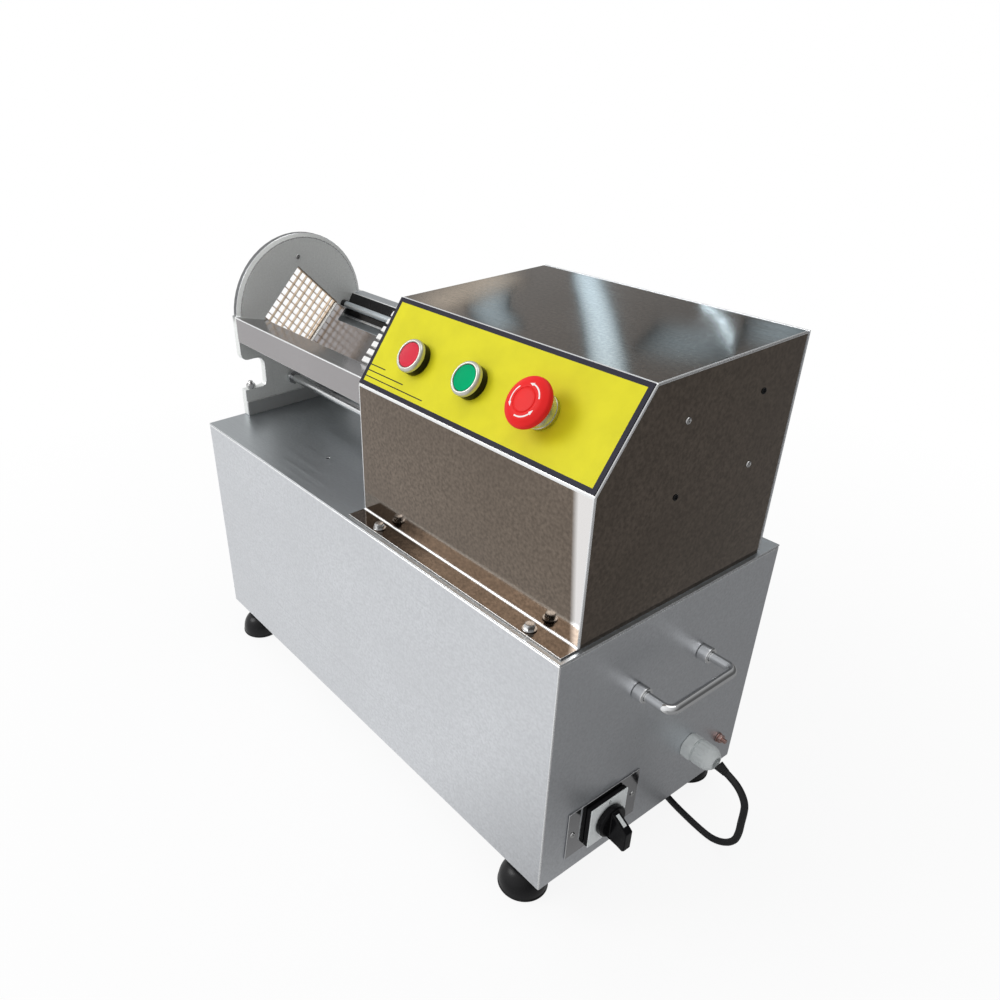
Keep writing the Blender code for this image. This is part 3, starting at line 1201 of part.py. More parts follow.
def build_cord(floor):
    """The cord's sleeve, its free stretch, its coil with a tie, the tail and the plug."""
    start, way = cord_sleeve_end()
    reach = SLEEVE_LENGTH
    sleeve = turned([(0, GAP), (0.0056, GAP), (0.0045, reach * 0.7), (0.0040, reach), (0, reach)], 16, "X")
    sleeve.transform(Matrix.Rotation(math.radians(18), 4, "Y"))
    piece("cord_sleeve", sleeve, BLACK_RUBBER, floor, start + way * 0.0022)
    first = start + way * (0.0022 + SLEEVE_LENGTH + GAP)
    meet = (COIL_CENTRE[0] + coil_edge(), RUN_Y, COIL_BOTTOM + CORD_RADIUS)
    route = [tuple(first), tuple(first + way * 0.004)] + CORD_ROUTE
    route += [(meet[0] + 0.012, meet[1] - 0.0005, meet[2]), meet]
    line = smooth_line(route, 2.5 * 2 * CORD_RADIUS)
    piece("mains_cord", along([tuple(p) for p in line], CORD_RADIUS, 2), BLACK_RUBBER, floor)

    x, y = COIL_CENTRE
    inner, outer = COIL_RADIUS - COIL_HALF_WIDTH, COIL_RADIUS + COIL_HALF_WIDTH
    low, high = COIL_BOTTOM, COIL_BOTTOM + COIL_HEIGHT
    piece("cord_coil", ring(inner, outer, low, high, 28), BLACK_RUBBER, floor, (x, y, 0))
    t = TIE_THICKNESS
    band = ring(inner - GAP - t, outer + GAP + t, low - GAP - t, high + GAP + t, 28)
    hollow = ring(inner - GAP, outer + GAP, low - GAP, high + GAP, 28)
    slice_ = box((-TIE_WIDTH / 2, 0, -0.01), (TIE_WIDTH / 2, 2 * outer, 0.03))
    piece("cord_tie", combined(slice_, cut(band, hollow), "INTERSECT"), BLACK_RUBBER, floor, (x, y, 0))

    piece("cord_tail", along(tail_line(), CORD_RADIUS, 2), BLACK_RUBBER, floor)
    grip = turned([
        (0, 0), (0.0056, 0), (0.0070, 0.012), (0.0125, 0.016), (0.0165, 0.026), (PLUG_RADIUS, 0.030),
        (PLUG_RADIUS, PLUG_LENGTH - 0.001), (PLUG_RADIUS - 0.001, PLUG_LENGTH), (0, PLUG_LENGTH),
    ], 16, "X")
    pins = []
    for offset in (-PLUG_PIN_SPACING / 2, PLUG_PIN_SPACING / 2):
        profile = [
            (0, PLUG_LENGTH - 0.001), (0.0024, PLUG_LENGTH - 0.001), (0.0024, PLUG_LENGTH + 0.0175),
            (0.0014, PLUG_LENGTH + 0.0190), (0, PLUG_LENGTH + 0.0190),
        ]
        pins.append(moved(turned(profile, 12, "X"), 0, offset))
    plug = fused(grip, *pins)
    plug.transform(Matrix.Rotation(math.pi, 4, "Z"))
    piece("mains_plug", plug, BLACK_PLASTIC, floor, (PLUG_X, RUN_Y, PLUG_RADIUS + GAP))


def build():
    """Clear the scene and build the whole machine."""
    for thing in list(bpy.data.objects):
        bpy.data.objects.remove(thing)
    machine = frame_at("machine", None, (-MIDDLE_X, -MIDDLE_Y, DECK_Z))
    panel = frame_at("control_face", machine, (HOUSING_X, HOUSING_Y, HOUSING_FRONT_HEIGHT), (SLOPE, 0, 0))
    grid = frame_at("grid", machine, (0, LINE_Y, LINE_Z), (math.radians(45), 0, 0))
    floor = frame_at("floor", None, (0, 0, 0))
    bpy.context.view_layer.update()
    build_cabinet(machine)
    build_feet(machine)
    build_housing(machine, panel)
    build_controls(panel)
    build_head(machine, grid)
    build_trough(machine)
    build_tie_rods(machine)
    build_frame(machine)
    build_ram(machine)
    build_gearing(machine)
    build_control_box(machine)
    build_selector(machine)
    build_handle(machine)
    build_gland(machine)
    build_cord(floor)


build()
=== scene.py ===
# %% [markdown]
# # An electric french fry cutter
# The machine is a steel cabinet with a drive housing, a V-trough and a half-round cutting head on its deck.
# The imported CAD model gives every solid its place. This script gives each one the finish of the real thing,
# rebuilds the round and moulded pieces more finely, and adds the screws and prints that the solids leave out.

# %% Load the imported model
import json
import math

import bmesh
import bpy
import numpy as np
from mathutils import Matrix, Vector


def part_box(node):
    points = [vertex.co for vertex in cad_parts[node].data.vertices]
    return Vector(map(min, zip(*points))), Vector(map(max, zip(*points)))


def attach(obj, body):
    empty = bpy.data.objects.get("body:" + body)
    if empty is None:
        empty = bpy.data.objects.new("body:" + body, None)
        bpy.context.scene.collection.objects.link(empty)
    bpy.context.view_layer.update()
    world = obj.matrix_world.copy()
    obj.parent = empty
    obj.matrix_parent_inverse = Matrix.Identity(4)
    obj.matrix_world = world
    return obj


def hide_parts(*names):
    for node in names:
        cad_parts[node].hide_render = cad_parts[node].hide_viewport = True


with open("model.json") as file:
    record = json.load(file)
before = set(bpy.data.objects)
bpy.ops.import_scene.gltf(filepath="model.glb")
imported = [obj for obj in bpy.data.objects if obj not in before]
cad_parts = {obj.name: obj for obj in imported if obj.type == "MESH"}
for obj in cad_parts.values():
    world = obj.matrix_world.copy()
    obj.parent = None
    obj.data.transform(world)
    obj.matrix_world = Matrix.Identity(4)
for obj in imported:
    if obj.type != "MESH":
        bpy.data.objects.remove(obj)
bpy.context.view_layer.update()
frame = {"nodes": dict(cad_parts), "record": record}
NODES = frame["nodes"]

# %% [markdown]
# ## One corner to measure from
# Every size below is taken from the deck's front left corner, on the deck's top face: x runs to the end with
# the switch, y to the back, z up. The corner itself is read from the frame, so the scene follows the solids.

# %% The deck's corner
CORNER = Vector((*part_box("cabinet_shell")[0][:2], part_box("deck_plate")[1][2]))


def deck(x, y, z=0.0):
    """The place x, y, z metres from the deck's front left corner, in the model's own frame."""
    return CORNER + Vector((x, y, z))


def stood(name, data):
    """A new object with this data, in the scene."""
    thing = bpy.data.objects.new(name, data)
    bpy.context.scene.collection.objects.link(thing)
    return thing


HOUSING_LEFT, HOUSING_RIGHT = 0.3055, 0.5960
HOUSING_FRONT, HOUSING_TOP_FRONT = 0.0238, 0.0757
HOUSING_FRONT_HEIGHT, HOUSING_HEIGHT = 0.1327, 0.2028
print("deck corner at", [round(v, 4) for v in CORNER])

# %% [markdown]
# ## Camera
# The camera's place, direction and lens were solved from the cabinet's and housing's corners. The picture is
# a crop of a wider one, so the lens axis is not in its middle, and a shift brings the machine into place.

# %% Camera
CAMERA_PLACE = deck(0.9388, -0.3890, 0.4129)
AZIMUTH = math.radians(54.611)
ELEVATION = math.radians(32.063)
ROLL = math.radians(-1.699)

away = Vector((
    math.sin(AZIMUTH) * math.cos(ELEVATION),
    -math.cos(AZIMUTH) * math.cos(ELEVATION),
    math.sin(ELEVATION),
))
level = Vector((math.cos(AZIMUTH), math.sin(AZIMUTH), 0))
upward = away.cross(level)
right = math.cos(ROLL) * level + math.sin(ROLL) * upward
upward = math.cos(ROLL) * upward - math.sin(ROLL) * level

camera = stood("camera", bpy.data.cameras.new("camera"))
camera.matrix_world = Matrix.Translation(CAMERA_PLACE) @ Matrix((right, upward, away)).transposed().to_4x4()
camera.data.sensor_width = 36
camera.data.lens = 30.77
camera.data.shift_x = 0.1037
camera.data.shift_y = 0.0596
camera.data.clip_start = 0.01
bpy.context.scene.camera = camera
print("camera at", [round(v, 3) for v in CAMERA_PLACE])

# %% [markdown]
# ## Small tools for materials
# A shader is a tree of nodes. These helpers add a node, join two sockets, and read a noise that is stretched
# along an axis. Every pattern reads Object coordinates, so it stays on the metal in every view.

# %% Node helpers
def new_surface(name):
    """A material with an empty tree, its Principled shader, and the output that shows it."""
    surface = bpy.data.materials.new(name)
    surface.use_nodes = True
    tree = surface.node_tree
    shader = tree.nodes["Principled BSDF"]
    return surface, tree, shader


def add(tree, kind, **values):
    """A node of a kind, with its plain settings; a value whose name is a socket goes into that socket."""
    node = tree.nodes.new(kind)
    for key, value in values.items():
        if key in node.inputs:
            node.inputs[key].default_value = value
        else:
            setattr(node, key, value)
    return node


def grain(tree, scale, stretch=(1, 1, 1), detail=3.0, turn=(0, 0, 0)):
    """Noise from 0 to 1 on Object coordinates, squeezed by stretch along each axis."""
    place = add(tree, "ShaderNodeTexCoord")
    lay = add(tree, "ShaderNodeMapping")
    lay.inputs["Scale"].default_value = stretch
    lay.inputs["Rotation"].default_value = turn
    noise = add(tree, "ShaderNodeTexNoise", Scale=scale, Detail=detail)
    tree.links.new(place.outputs["Object"], lay.inputs["Vector"])
    tree.links.new(lay.outputs["Vector"], noise.inputs["Vector"])
    return noise.outputs["Fac"]


def spread(tree, value, low, high, start=0.3, end=0.7):
    """The value between start and end laid out between low and high."""
    node = add(tree, "ShaderNodeMapRange")
    node.inputs["From Min"].default_value = start
    node.inputs["From Max"].default_value = end
    node.inputs["To Min"].default_value = low
    node.inputs["To Max"].default_value = high
    tree.links.new(value, node.inputs["Value"])
    return node.outputs["Result"]


def feed(tree, socket, value):
    """Gives a socket a number, a colour or another socket's value."""
    if isinstance(value, bpy.types.NodeSocket):
        tree.links.new(value, socket)
    else:
        socket.default_value = (*value, 1) if isinstance(value, tuple) else value


def blend(tree, share, first, second):
    """Two colours, mixed by a share from 0 to 1; either may be a socket."""
    node = add(tree, "ShaderNodeMix", data_type="RGBA")
    for socket, value in zip((node.inputs["Factor"], node.inputs[6], node.inputs[7]), (share, first, second)):
        feed(tree, socket, value)
    return node.outputs[2]


def calc(tree, operation, *values, clamp=False):
    """One step of arithmetic on sockets and plain numbers."""
    node = add(tree, "ShaderNodeMath", operation=operation, use_clamp=clamp)
    for socket, value in zip(node.inputs, values):
        feed(tree, socket, value)
    return node.outputs[0]


def measure(tree, weights, source="Object"):
    """The sum of the coordinates, each times its weight: how far a point lies along a direction."""
    place = add(tree, "ShaderNodeTexCoord")
    total = add(tree, "ShaderNodeVectorMath", operation="DOT_PRODUCT")
    total.inputs[1].default_value = weights
    tree.links.new(place.outputs[source], total.inputs[0])
    return total.outputs["Value"]


def mixed(tree, share, first, second, end):
    """Two shaders on the tree's output, mixed by a share from 0 to 1."""
    both = add(tree, "ShaderNodeMixShader")
    for socket, value in zip(both.inputs, (share, first, second)):
        tree.links.new(value, socket)
    tree.links.new(both.outputs[0], tree.nodes[end].inputs["Surface"])


def bump(tree, shader, height, strength, distance):
    """Turns a height into small relief on the shader, on top of any relief that it has."""
    node = add(tree, "ShaderNodeBump", Strength=strength, Distance=distance)
    tree.links.new(height, node.inputs["Height"])
    if shader.inputs["Normal"].links:
        tree.links.new(shader.inputs["Normal"].links[0].from_socket, node.inputs["Normal"])
    tree.links.new(node.outputs["Normal"], shader.inputs["Normal"])


def scaled(colour, factor):
    """The colour times a factor, kept below 1."""
    return tuple(min(1.0, c * factor) for c in colour)


# %% [markdown]
# ## Steel
# Sheet steel has a brushed grain along the sheet, faint clouds where hands and cloths went over it, and a
# few fine scratches. The grain is a noise squeezed across one axis; it drives the roughness and a low relief.
# One recipe makes every metal here, with its own tint, gloss and grain.

# %% Metals
def metal(name, tint, roughness, along="X", grain_depth=0.00002, smudge=0.10, scratches=0.25, tone=0.08,
          speckle=(1300.0, 0.08), metallic=1.0):
    """A metal: brushed noise across the grain, broad clouds in the gloss, fine specks and thin scratches."""
    surface, tree, shader = new_surface(name)
    long, short = 6, 900
    stretch = {"X": (long, short, short), "Y": (short, long, short), "Z": (short, short, long)}[along]
    brush = grain(tree, 1.0, stretch, 2.0)
    cloud = grain(tree, 9.0, (1, 1, 1), 4.0)
    speck = grain(tree, speckle[0], (1, 1, 1), 2.0)
    line = grain(tree, 1.0, tuple(s * 0.35 for s in stretch), 1.0, (0.15, 0.25, 0.35))
    shade = blend(tree, spread(tree, cloud, 0, 1), scaled(tint, 1 - tone), scaled(tint, 1 + tone))
    shade = blend(tree, spread(tree, speck, 0, 1), shade, scaled(tint, 1.0 - speckle[1]))
    marked = blend(tree, spread(tree, line, 0, scratches, 0.70, 0.76), shade, scaled(tint, 0.55))
    tree.links.new(marked, shader.inputs["Base Color"])
    shader.inputs["Metallic"].default_value = metallic
    brushed = spread(tree, brush, roughness * 0.75, roughness * 1.25)
    tree.links.new(calc(tree, "ADD", brushed, spread(tree, cloud, 0, smudge)), shader.inputs["Roughness"])
    bump(tree, shader, brush, 0.5, grain_depth)
    return surface


satin_steel = metal("satin steel", (0.75, 0.77, 0.80), 0.36, "X", 0.00001, 0.05, 0.08, 0.04, (420.0, 0.13))
deck_steel = metal("deck steel", (0.51, 0.54, 0.56), 0.34, "X", 0.000006, 0.08, 0.05, 0.05, (420.0, 0.08),
                   0.9)
film_steel = metal("polished housing steel", (0.212, 0.172, 0.139), 0.075, "X", 0.00001, 0.04, 0.1, 0.14,
                   (330.0, 0.36))
trough_steel = metal("polished trough steel", (0.41, 0.395, 0.40), 0.13, "X", 0.000006, 0.04, 0.1, 0.06)
plate_steel = metal("mirror plate steel", (0.45, 0.45, 0.46), 0.07, "Y", smudge=0.04)
rod_steel = metal("bright rod steel", (0.76, 0.77, 0.78), 0.20, "X", 0.00001)
rail_steel = metal("satin rail steel", (0.55, 0.60, 0.63), 0.42, "X", 0.00001, 0.05, 0.05, 0.04, metallic=0.7)
screw_steel = metal("screw steel", (0.60, 0.60, 0.60), 0.22, "Z", smudge=0.04)
ring_steel = metal("button ring steel", (0.62, 0.62, 0.56), 0.34, "Z", 0.000004, 0.04, 0.05, 0.03,
                   metallic=0.8)
gear_steel = metal("gear steel", (0.38, 0.38, 0.39), 0.36, "Y", smudge=0.12)
chrome = metal("chrome", (0.88, 0.89, 0.90), 0.05, "Y", 0.000002, 0.03, 0.1, 0.02)
blade_steel = metal("blade steel", (0.74, 0.60, 0.46), 0.26, "X", 0.00002, 0.12, 0.25, 0.14, (300.0, 0.2))
cast_aluminium = metal("cast aluminium", (0.92, 0.94, 0.92), 0.42, "Z", 0.00001, 0.10, 0.1, 0.05,
                       (500.0, 0.10), 0.35)
earth_bronze = metal("earth screw bronze", (0.62, 0.42, 0.38), 0.26, "X", smudge=0.06)
print("metals:", len(bpy.data.materials))

# %% [markdown]
# ## Plastics, rubber and paint
# Moulded plastic is one colour right through, with a faint mottle, a fine spark-eroded texture and a gloss
# that is worn here and there. Rubber is the same recipe, duller and with coarser relief.

# %% Plastics
def plastic(name, colour, roughness, texture=900.0, depth=0.00003, tone=0.10, wear=0.08, shine=0.5):
    """A moulded plastic: mottled colour, gloss with worn clouds, and a fine pebbled relief."""
    surface, tree, shader = new_surface(name)
    mottle = grain(tree, 45.0, (1, 1, 1), 4.0)
    cloud = grain(tree, 14.0, (1, 1, 1), 3.0)
    pebble = grain(tree, texture, (1, 1, 1), 1.0)
    shade = blend(tree, spread(tree, mottle, 0, 1), scaled(colour, 1 - tone), scaled(colour, 1 + tone))
    tree.links.new(shade, shader.inputs["Base Color"])
    tree.links.new(spread(tree, cloud, roughness, roughness + wear), shader.inputs["Roughness"])
    shader.inputs["Specular IOR Level"].default_value = shine
    bump(tree, shader, pebble, 0.4, depth)
    return surface


black_rubber = plastic("black rubber", (0.006, 0.006, 0.007), 0.22, 500.0, wear=0.12, shine=0.28)
cord_rubber = plastic("cord rubber", (0.016, 0.016, 0.017), 0.42, 700.0, 0.00004, wear=0.12, shine=0.4)
black_plastic = plastic("black plastic", (0.004, 0.004, 0.005), 0.20, depth=0.00001, wear=0.08, shine=0.20)
pusher_white = plastic("white food plastic", (0.86, 0.86, 0.85), 0.36, texture=600.0, tone=0.04)
red_plastic = plastic("red button plastic", (0.66, 0.022, 0.050), 0.24, depth=0.00001, tone=0.05, shine=0.14)
stop_red = plastic("emergency stop plastic", (0.80, 0.022, 0.022), 0.30, depth=0.00001, tone=0.05, shine=0.10)
green_plastic = plastic("green button plastic", (0.001, 0.38, 0.15), 0.24, depth=0.00001, tone=0.05,
                        shine=0.02)
grey_plastic = plastic("gland plastic", (0.72, 0.76, 0.76), 0.34, texture=700.0, tone=0.04)
pale_plastic = plastic("dial plastic", (0.95, 1.00, 1.00), 0.30, tone=0.02)
yellow_film = plastic("yellow overlay film", (0.70, 0.65, 0.018), 0.40, 1500.0, 0.00001, 0.05, shine=0.10)
navy_ink = plastic("dark border ink", (0.022, 0.021, 0.034), 0.42, texture=1500.0, depth=0.00001, shine=0.12)
white_ink = plastic("white ink", (0.85, 0.80, 0.79), 0.40, tone=0.03)
dark_ink = plastic("dial ink", (0.03, 0.03, 0.035), 0.45)
iron_paint = plastic("machine paint", (0.10, 0.14, 0.18), 0.42, 260.0, 0.00008, wear=0.12)
# Pale steel for the edge rounds of the sheet pieces: a painted highlight along each rounded edge, on top of
# the light that the round itself catches.
edge_highlight_steel = metal("pale edge steel, painted highlight", (0.95, 0.96, 0.97), 0.24, "X", 0.000004, 0.04, 0.05, 0.02,
                    metallic=0.8)
cast_edge = metal("casting edge", (0.95, 0.96, 0.97), 0.24, "X", 0.000004, 0.04, 0.05, 0.02, metallic=0.8)


def overlaid(surface, colour, *limits):
    """Another colour where every limit holds. A limit has a weight for each axis of the Object coordinates,
    the weighted sum at which the colour is absent, and the sum at which it is full."""
    tree = surface.node_tree
    shader = tree.nodes["Principled BSDF"]
    share = 1.0
    for weights, absent, full in limits:
        share = calc(tree, "MULTIPLY", share, spread(tree, measure(tree, weights), 0, 1, absent, full))
    base = shader.inputs["Base Color"].links[0].from_socket
    tree.links.new(blend(tree, share, base, colour), shader.inputs["Base Color"])


# %% A dark band on the head's crown, and a painted highlight beside the housing's fold
# The head casting's colour turns dark where it lies behind RIM_BACK and above RIM_LOW, on its crown and its
# edge rounds.
RIM_BACK = CORNER[0] + 0.0068
RIM_LOW = CORNER[2] + 0.121
for surface in (cast_aluminium, cast_edge):
    overlaid(surface, (0.13, 0.135, 0.14), ((1, 0, 0), RIM_BACK + 0.0001, RIM_BACK - 0.0001),
             ((0, 0, 1), RIM_LOW - 0.006, RIM_LOW + 0.006))
BAR_X = CORNER[0] + 0.0103
BAR_TOP = CORNER[2] + 0.0183
overlaid(cast_aluminium, (0.42, 0.43, 0.43), ((1, 0, 0), BAR_X - 0.0001, BAR_X + 0.0001),
         ((0, 0, 1), BAR_TOP + 0.0002, BAR_TOP - 0.0002))
FRONT_Y = CORNER[1] + HOUSING_FRONT
# Painted highlight: the housing's front turns pale over its last few millimetres before the fold at its right
# end, soft at its left edge and kept above the flange.
FOLD_X = CORNER[0] + HOUSING_RIGHT
FOLD_HIGHLIGHT_LEAN = 0.085
FOLD_HIGHLIGHT_START = FOLD_X - 0.0057 + FOLD_HIGHLIGHT_LEAN * CORNER[2]
overlaid(film_steel, (0.90, 0.88, 0.87), ((1, 0, FOLD_HIGHLIGHT_LEAN), FOLD_HIGHLIGHT_START - 0.004, FOLD_HIGHLIGHT_START + 0.002),
         ((0, 1, 0), FRONT_Y + 0.0006, FRONT_Y + 0.0002),
         ((0, 0, 1), CORNER[2] + 0.0025, CORNER[2] + 0.0045))
print("all finishes:", len(bpy.data.materials))

# %% [markdown]
# ## The mains cord
# A free cord keeps its length, so its route is settled first. It leaves the gland's sleeve, bends down under
# its own weight, runs under the machine along the floor and is stored behind it in a neat coil with a tie.
# The coil is three turns wide and two layers high: the lead winds inwards, climbs a layer and winds out.

# %% The cord's numbers
CORD_RADIUS = 0.0035
GLAND_END = deck(0.600 + 0.033, 0.2005, -0.2000)
SLEEVE_TILT = math.radians(18)
SLEEVE_START = 0.0022
SLEEVE_LENGTH = 0.0100
GAP = 0.0003
CORD_ROUTE = [
    (0.3418, 0.0590, 0.0933), (0.3488, 0.0592, 0.0862), (0.3534, 0.0594, 0.0773), (0.3546, 0.0597, 0.0674),
    (0.3546, 0.0602, 0.0525), (0.3546, 0.0607, 0.0380), (0.3523, 0.0611, 0.0250), (0.3450, 0.0615, 0.0140),
    (0.3340, 0.0619, 0.0066), (0.3210, 0.0625, 0.0041), (0.2960, 0.0655, 0.0040), (0.2700, 0.0705, 0.0040),
    (0.2440, 0.0785, 0.0040), (0.2200, 0.0905, 0.0040), (0.1980, 0.1080, 0.0040), (0.1770, 0.1285, 0.0040),
    (0.1540, 0.1475, 0.0041), (0.1290, 0.1600, 0.0044),
]
COIL_MIDDLE = (0.060, 0.212)
COIL_RADII = (0.0455, 0.0385, 0.0315)
COIL_LEVELS = (0.0049, 0.0119)
COIL_POINTS = 36
COIL_STEP = math.radians(180)


# %% The coil as a function of the turned angle
def smooth(value, start, width):
    """0 before start, 1 after start + width, and 3 t squared less 2 t cubed between."""
    t = np.clip((value - start) / width, 0, 1)
    return 3 * t ** 2 - 2 * t ** 3


def coil_line():
    """Five turns about the coil's middle: each pass through the crossing zone moves the lead one place on."""
    turned = np.linspace(0, 10 * math.pi, 5 * COIL_POINTS + 1)[1:]
    outer, middle, inner = COIL_RADII
    zone = math.radians(200)
    radius = np.full(turned.shape, outer)
    radius += (middle - outer) * smooth(turned, zone, COIL_STEP)
    radius += (inner - middle) * smooth(turned, zone + 2 * math.pi, COIL_STEP)
    radius += (middle - inner) * smooth(turned, zone + 6 * math.pi - 2 * COIL_STEP, COIL_STEP)
    radius += (outer - middle) * smooth(turned, zone + 8 * math.pi - 2 * COIL_STEP, COIL_STEP)
    low, high = COIL_LEVELS
    height = low + (high - low) * smooth(turned, zone + 4 * math.pi - COIL_STEP, COIL_STEP)
    angle = -math.pi / 2 - turned
    x = COIL_MIDDLE[0] + radius * np.cos(angle)
    y = COIL_MIDDLE[1] + radius * np.sin(angle)
    return np.stack([x, y, height], axis=1)


# %% The whole route as one spline
tilt = Vector((math.cos(SLEEVE_TILT), 0, -math.sin(SLEEVE_TILT)))
cord_start = GLAND_END + tilt * (SLEEVE_START + SLEEVE_LENGTH + GAP)
run_y = COIL_MIDDLE[1] - COIL_RADII[0]
plug_face = Vector((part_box("mains_plug")[1][0], run_y, sum(c[2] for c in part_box("mains_plug")) / 2))
first = [tuple(cord_start), tuple(cord_start + tilt * 0.004)] + CORD_ROUTE
first += [(COIL_MIDDLE[0] + 0.0252 + 0.012, run_y - 0.0005, COIL_LEVELS[0])]
first += [(COIL_MIDDLE[0] + 0.0252, run_y, COIL_LEVELS[0]), (COIL_MIDDLE[0], run_y, COIL_LEVELS[0])]
tail_x = np.linspace(COIL_MIDDLE[0] - 0.012, plug_face.x + GAP, 9)
rise = smooth(-tail_x, 0.0252 + 0.002 - COIL_MIDDLE[0], 0.052)
tail = np.stack([tail_x, np.full(9, run_y), COIL_LEVELS[1] + (plug_face.z - COIL_LEVELS[1]) * rise], axis=1)
line = np.concatenate([np.array(first), coil_line(), tail])


def cord_curve(name, points, radius):
    """One open spline through the points; each handle lies a sixth of the way between its neighbours."""
    curve = bpy.data.curves.new(name, "CURVE")
    curve.dimensions = "3D"
    curve.bevel_depth = radius
    curve.bevel_resolution = 6
    curve.use_fill_caps = True
    spline = curve.splines.new("BEZIER")
    spline.bezier_points.add(len(points) - 1)
    spline.resolution_u = 5
    before = np.concatenate([points[:1], points[:-1]])
    after = np.concatenate([points[1:], points[-1:]])
    reach = (after - before) / 6
    spline.bezier_points.foreach_set("co", points.ravel())
    spline.bezier_points.foreach_set("handle_left", (points - reach).ravel())
    spline.bezier_points.foreach_set("handle_right", (points + reach).ravel())
    return stood(name, curve)


cord = cord_curve("mains_lead", line, CORD_RADIUS)
cord.data.materials.append(cord_rubber)
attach(cord, "machine")
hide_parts("mains_cord", "cord_coil", "cord_tail")

# %% [markdown]
# ## Floor, surroundings and lamps
# A pale floor with a soft studio round it. The camera sees floor and surroundings near white, while the light
# that reaches the machine stays plain, so its colours show as they are. The floor keeps the machine's shadow.

# %% The floor
floor_paint, tree, shader = new_surface("pale floor")
shader.inputs["Base Color"].default_value = (0.84, 0.84, 0.85, 1)
shader.inputs["Roughness"].default_value = 0.8
shader.inputs["Specular IOR Level"].default_value = 0.1
ray = add(tree, "ShaderNodeLightPath").outputs
white = add(tree, "ShaderNodeEmission", Color=(1, 1, 1, 1))
span = add(tree, "ShaderNodeVectorMath", operation="LENGTH")
tree.links.new(add(tree, "ShaderNodeTexCoord").outputs["Object"], span.inputs[0])
whiteness = spread(tree, span.outputs["Value"], 0.90, 1.0, 0.40, 1.2)
# In reflections the floor glows white instead of showing its lit colour: strongest to the left and front,
# dimmer towards the right and back, so the machine's right-facing mirror faces reflect it darker.
dimming = spread(tree, measure(tree, (1.0, 0.5, 0)), -0.14, -0.77, -0.02, 0.34)
tree.links.new(calc(tree, "MULTIPLY_ADD", ray["Is Glossy Ray"], dimming, 1.0), white.inputs["Strength"])
clear = calc(tree, "ADD", ray["Is Camera Ray"], ray["Is Transmission Ray"], clamp=True)
shown = calc(tree, "MULTIPLY", clear, whiteness)
total = calc(tree, "MULTIPLY_ADD", ray["Is Glossy Ray"], 0.9, shown, clamp=True)
mixed(tree, total, shader.outputs[0], white.outputs[0], "Material Output")

FLOOR_HALF = 8.0
floor_mesh = bpy.data.meshes.new("floor")
corners = [(-1, -1, 0), (1, -1, 0), (1, 1, 0), (-1, 1, 0)]
floor_mesh.from_pydata([(FLOOR_HALF * x, FLOOR_HALF * y, 0) for x, y, z in corners], [], [(0, 1, 2, 3)])
floor = stood("floor", floor_mesh)
floor_mesh.materials.append(floor_paint)

# %% The surroundings
world = bpy.data.worlds.new("studio")
bpy.context.scene.world = world
world.use_nodes = True
tree = world.node_tree
room = tree.nodes["Background"]
room.inputs["Color"].default_value = (1, 1, 1, 1)
heading = measure(tree, (-0.50, -0.70, 0.50), "Generated")
tree.links.new(spread(tree, heading, 0.10, 0.95, -0.5, 0.9), room.inputs["Strength"])
sky = add(tree, "ShaderNodeBackground", Color=(1, 1, 1, 1), Strength=1.0)
ray = add(tree, "ShaderNodeLightPath").outputs
clear = calc(tree, "MAXIMUM", ray["Is Camera Ray"], ray["Is Transmission Ray"])
mixed(tree, clear, room.outputs[0], sky.outputs[0], "World Output")


# %% The lamps
def lamp(name, place, target, size, power):
    """A square soft lamp at a place, facing a target."""
    light = bpy.data.lights.new(name, "AREA")
    light.size = size
    light.energy = power
    facing = (Vector(place) - Vector(target)).to_track_quat("Z", "Y").to_matrix().to_4x4()
    stood(name, light).matrix_world = Matrix.Translation(place) @ facing


lamp("key", (-1.3, -1.9, 1.9), (0, 0, 0.25), 1.3, 26)
lamp("top", (0.2, 0.5, 2.4), (0, 0, 0.3), 1.2, 8)
bpy.context.scene.view_settings.view_transform = "Standard"


# %% Light strips that the housing's top mirrors
CARD_REACH = 1.3


def card(name, middle, width, strength, colour=(0.66, 0.86, 1.0), start=1.0):
    """A soft strip of light: the camera's ray to each point of a line on the housing's top, mirrored upwards.
    Its strength falls to nothing at both sides, and rises along the line from a share at its start."""
    middle = np.array(middle)
    run = np.gradient(middle, axis=0)
    beside = np.stack([run[:, 1], -run[:, 0]], axis=1) / np.linalg.norm(run, axis=1)[:, None]
    share = np.linspace(-1, 1, 9)
    flat = middle[:, None, :] + beside[:, None, :] * share[None, :, None] * width / 2
    level = np.full((*flat.shape[:2], 1), HOUSING_HEIGHT)
    points = np.concatenate([flat, level], axis=2) + np.array(CORNER)
    ray = points - np.array(CAMERA_PLACE)
    ray = ray / np.linalg.norm(ray, axis=2)[:, :, None] * np.array([1, 1, -1])
    points = points + ray * CARD_REACH
    rows, columns = points.shape[:2]
    index = np.arange(rows * columns).reshape(rows, columns)
    quads = np.stack([index[:-1, :-1], index[:-1, 1:], index[1:, 1:], index[1:, :-1]], axis=-1).reshape(-1, 4)
    mesh = bpy.data.meshes.new(name)
    mesh.from_pydata(points.reshape(-1, 3).tolist(), [], quads.tolist())
    glow = mesh.attributes.new("glow", "FLOAT", "POINT")
    along = np.linspace(start, 1, rows)
    glow.data.foreach_set("value", np.outer(along, np.cos(share * math.pi / 2) ** 0.7).ravel())
    thing = stood(name, mesh)
    light, tree, shader = new_surface(name)
    shader.inputs["Base Color"].default_value = (0, 0, 0, 1)
    shader.inputs["Emission Color"].default_value = (*colour, 1)
    strand = add(tree, "ShaderNodeAttribute", attribute_name="glow")
    tree.links.new(spread(tree, strand.outputs["Fac"], 0, strength, 0, 1), shader.inputs["Emission Strength"])
    mesh.materials.append(light)
    thing.visible_camera = False
    thing.visible_diffuse = False
    thing.visible_shadow = False


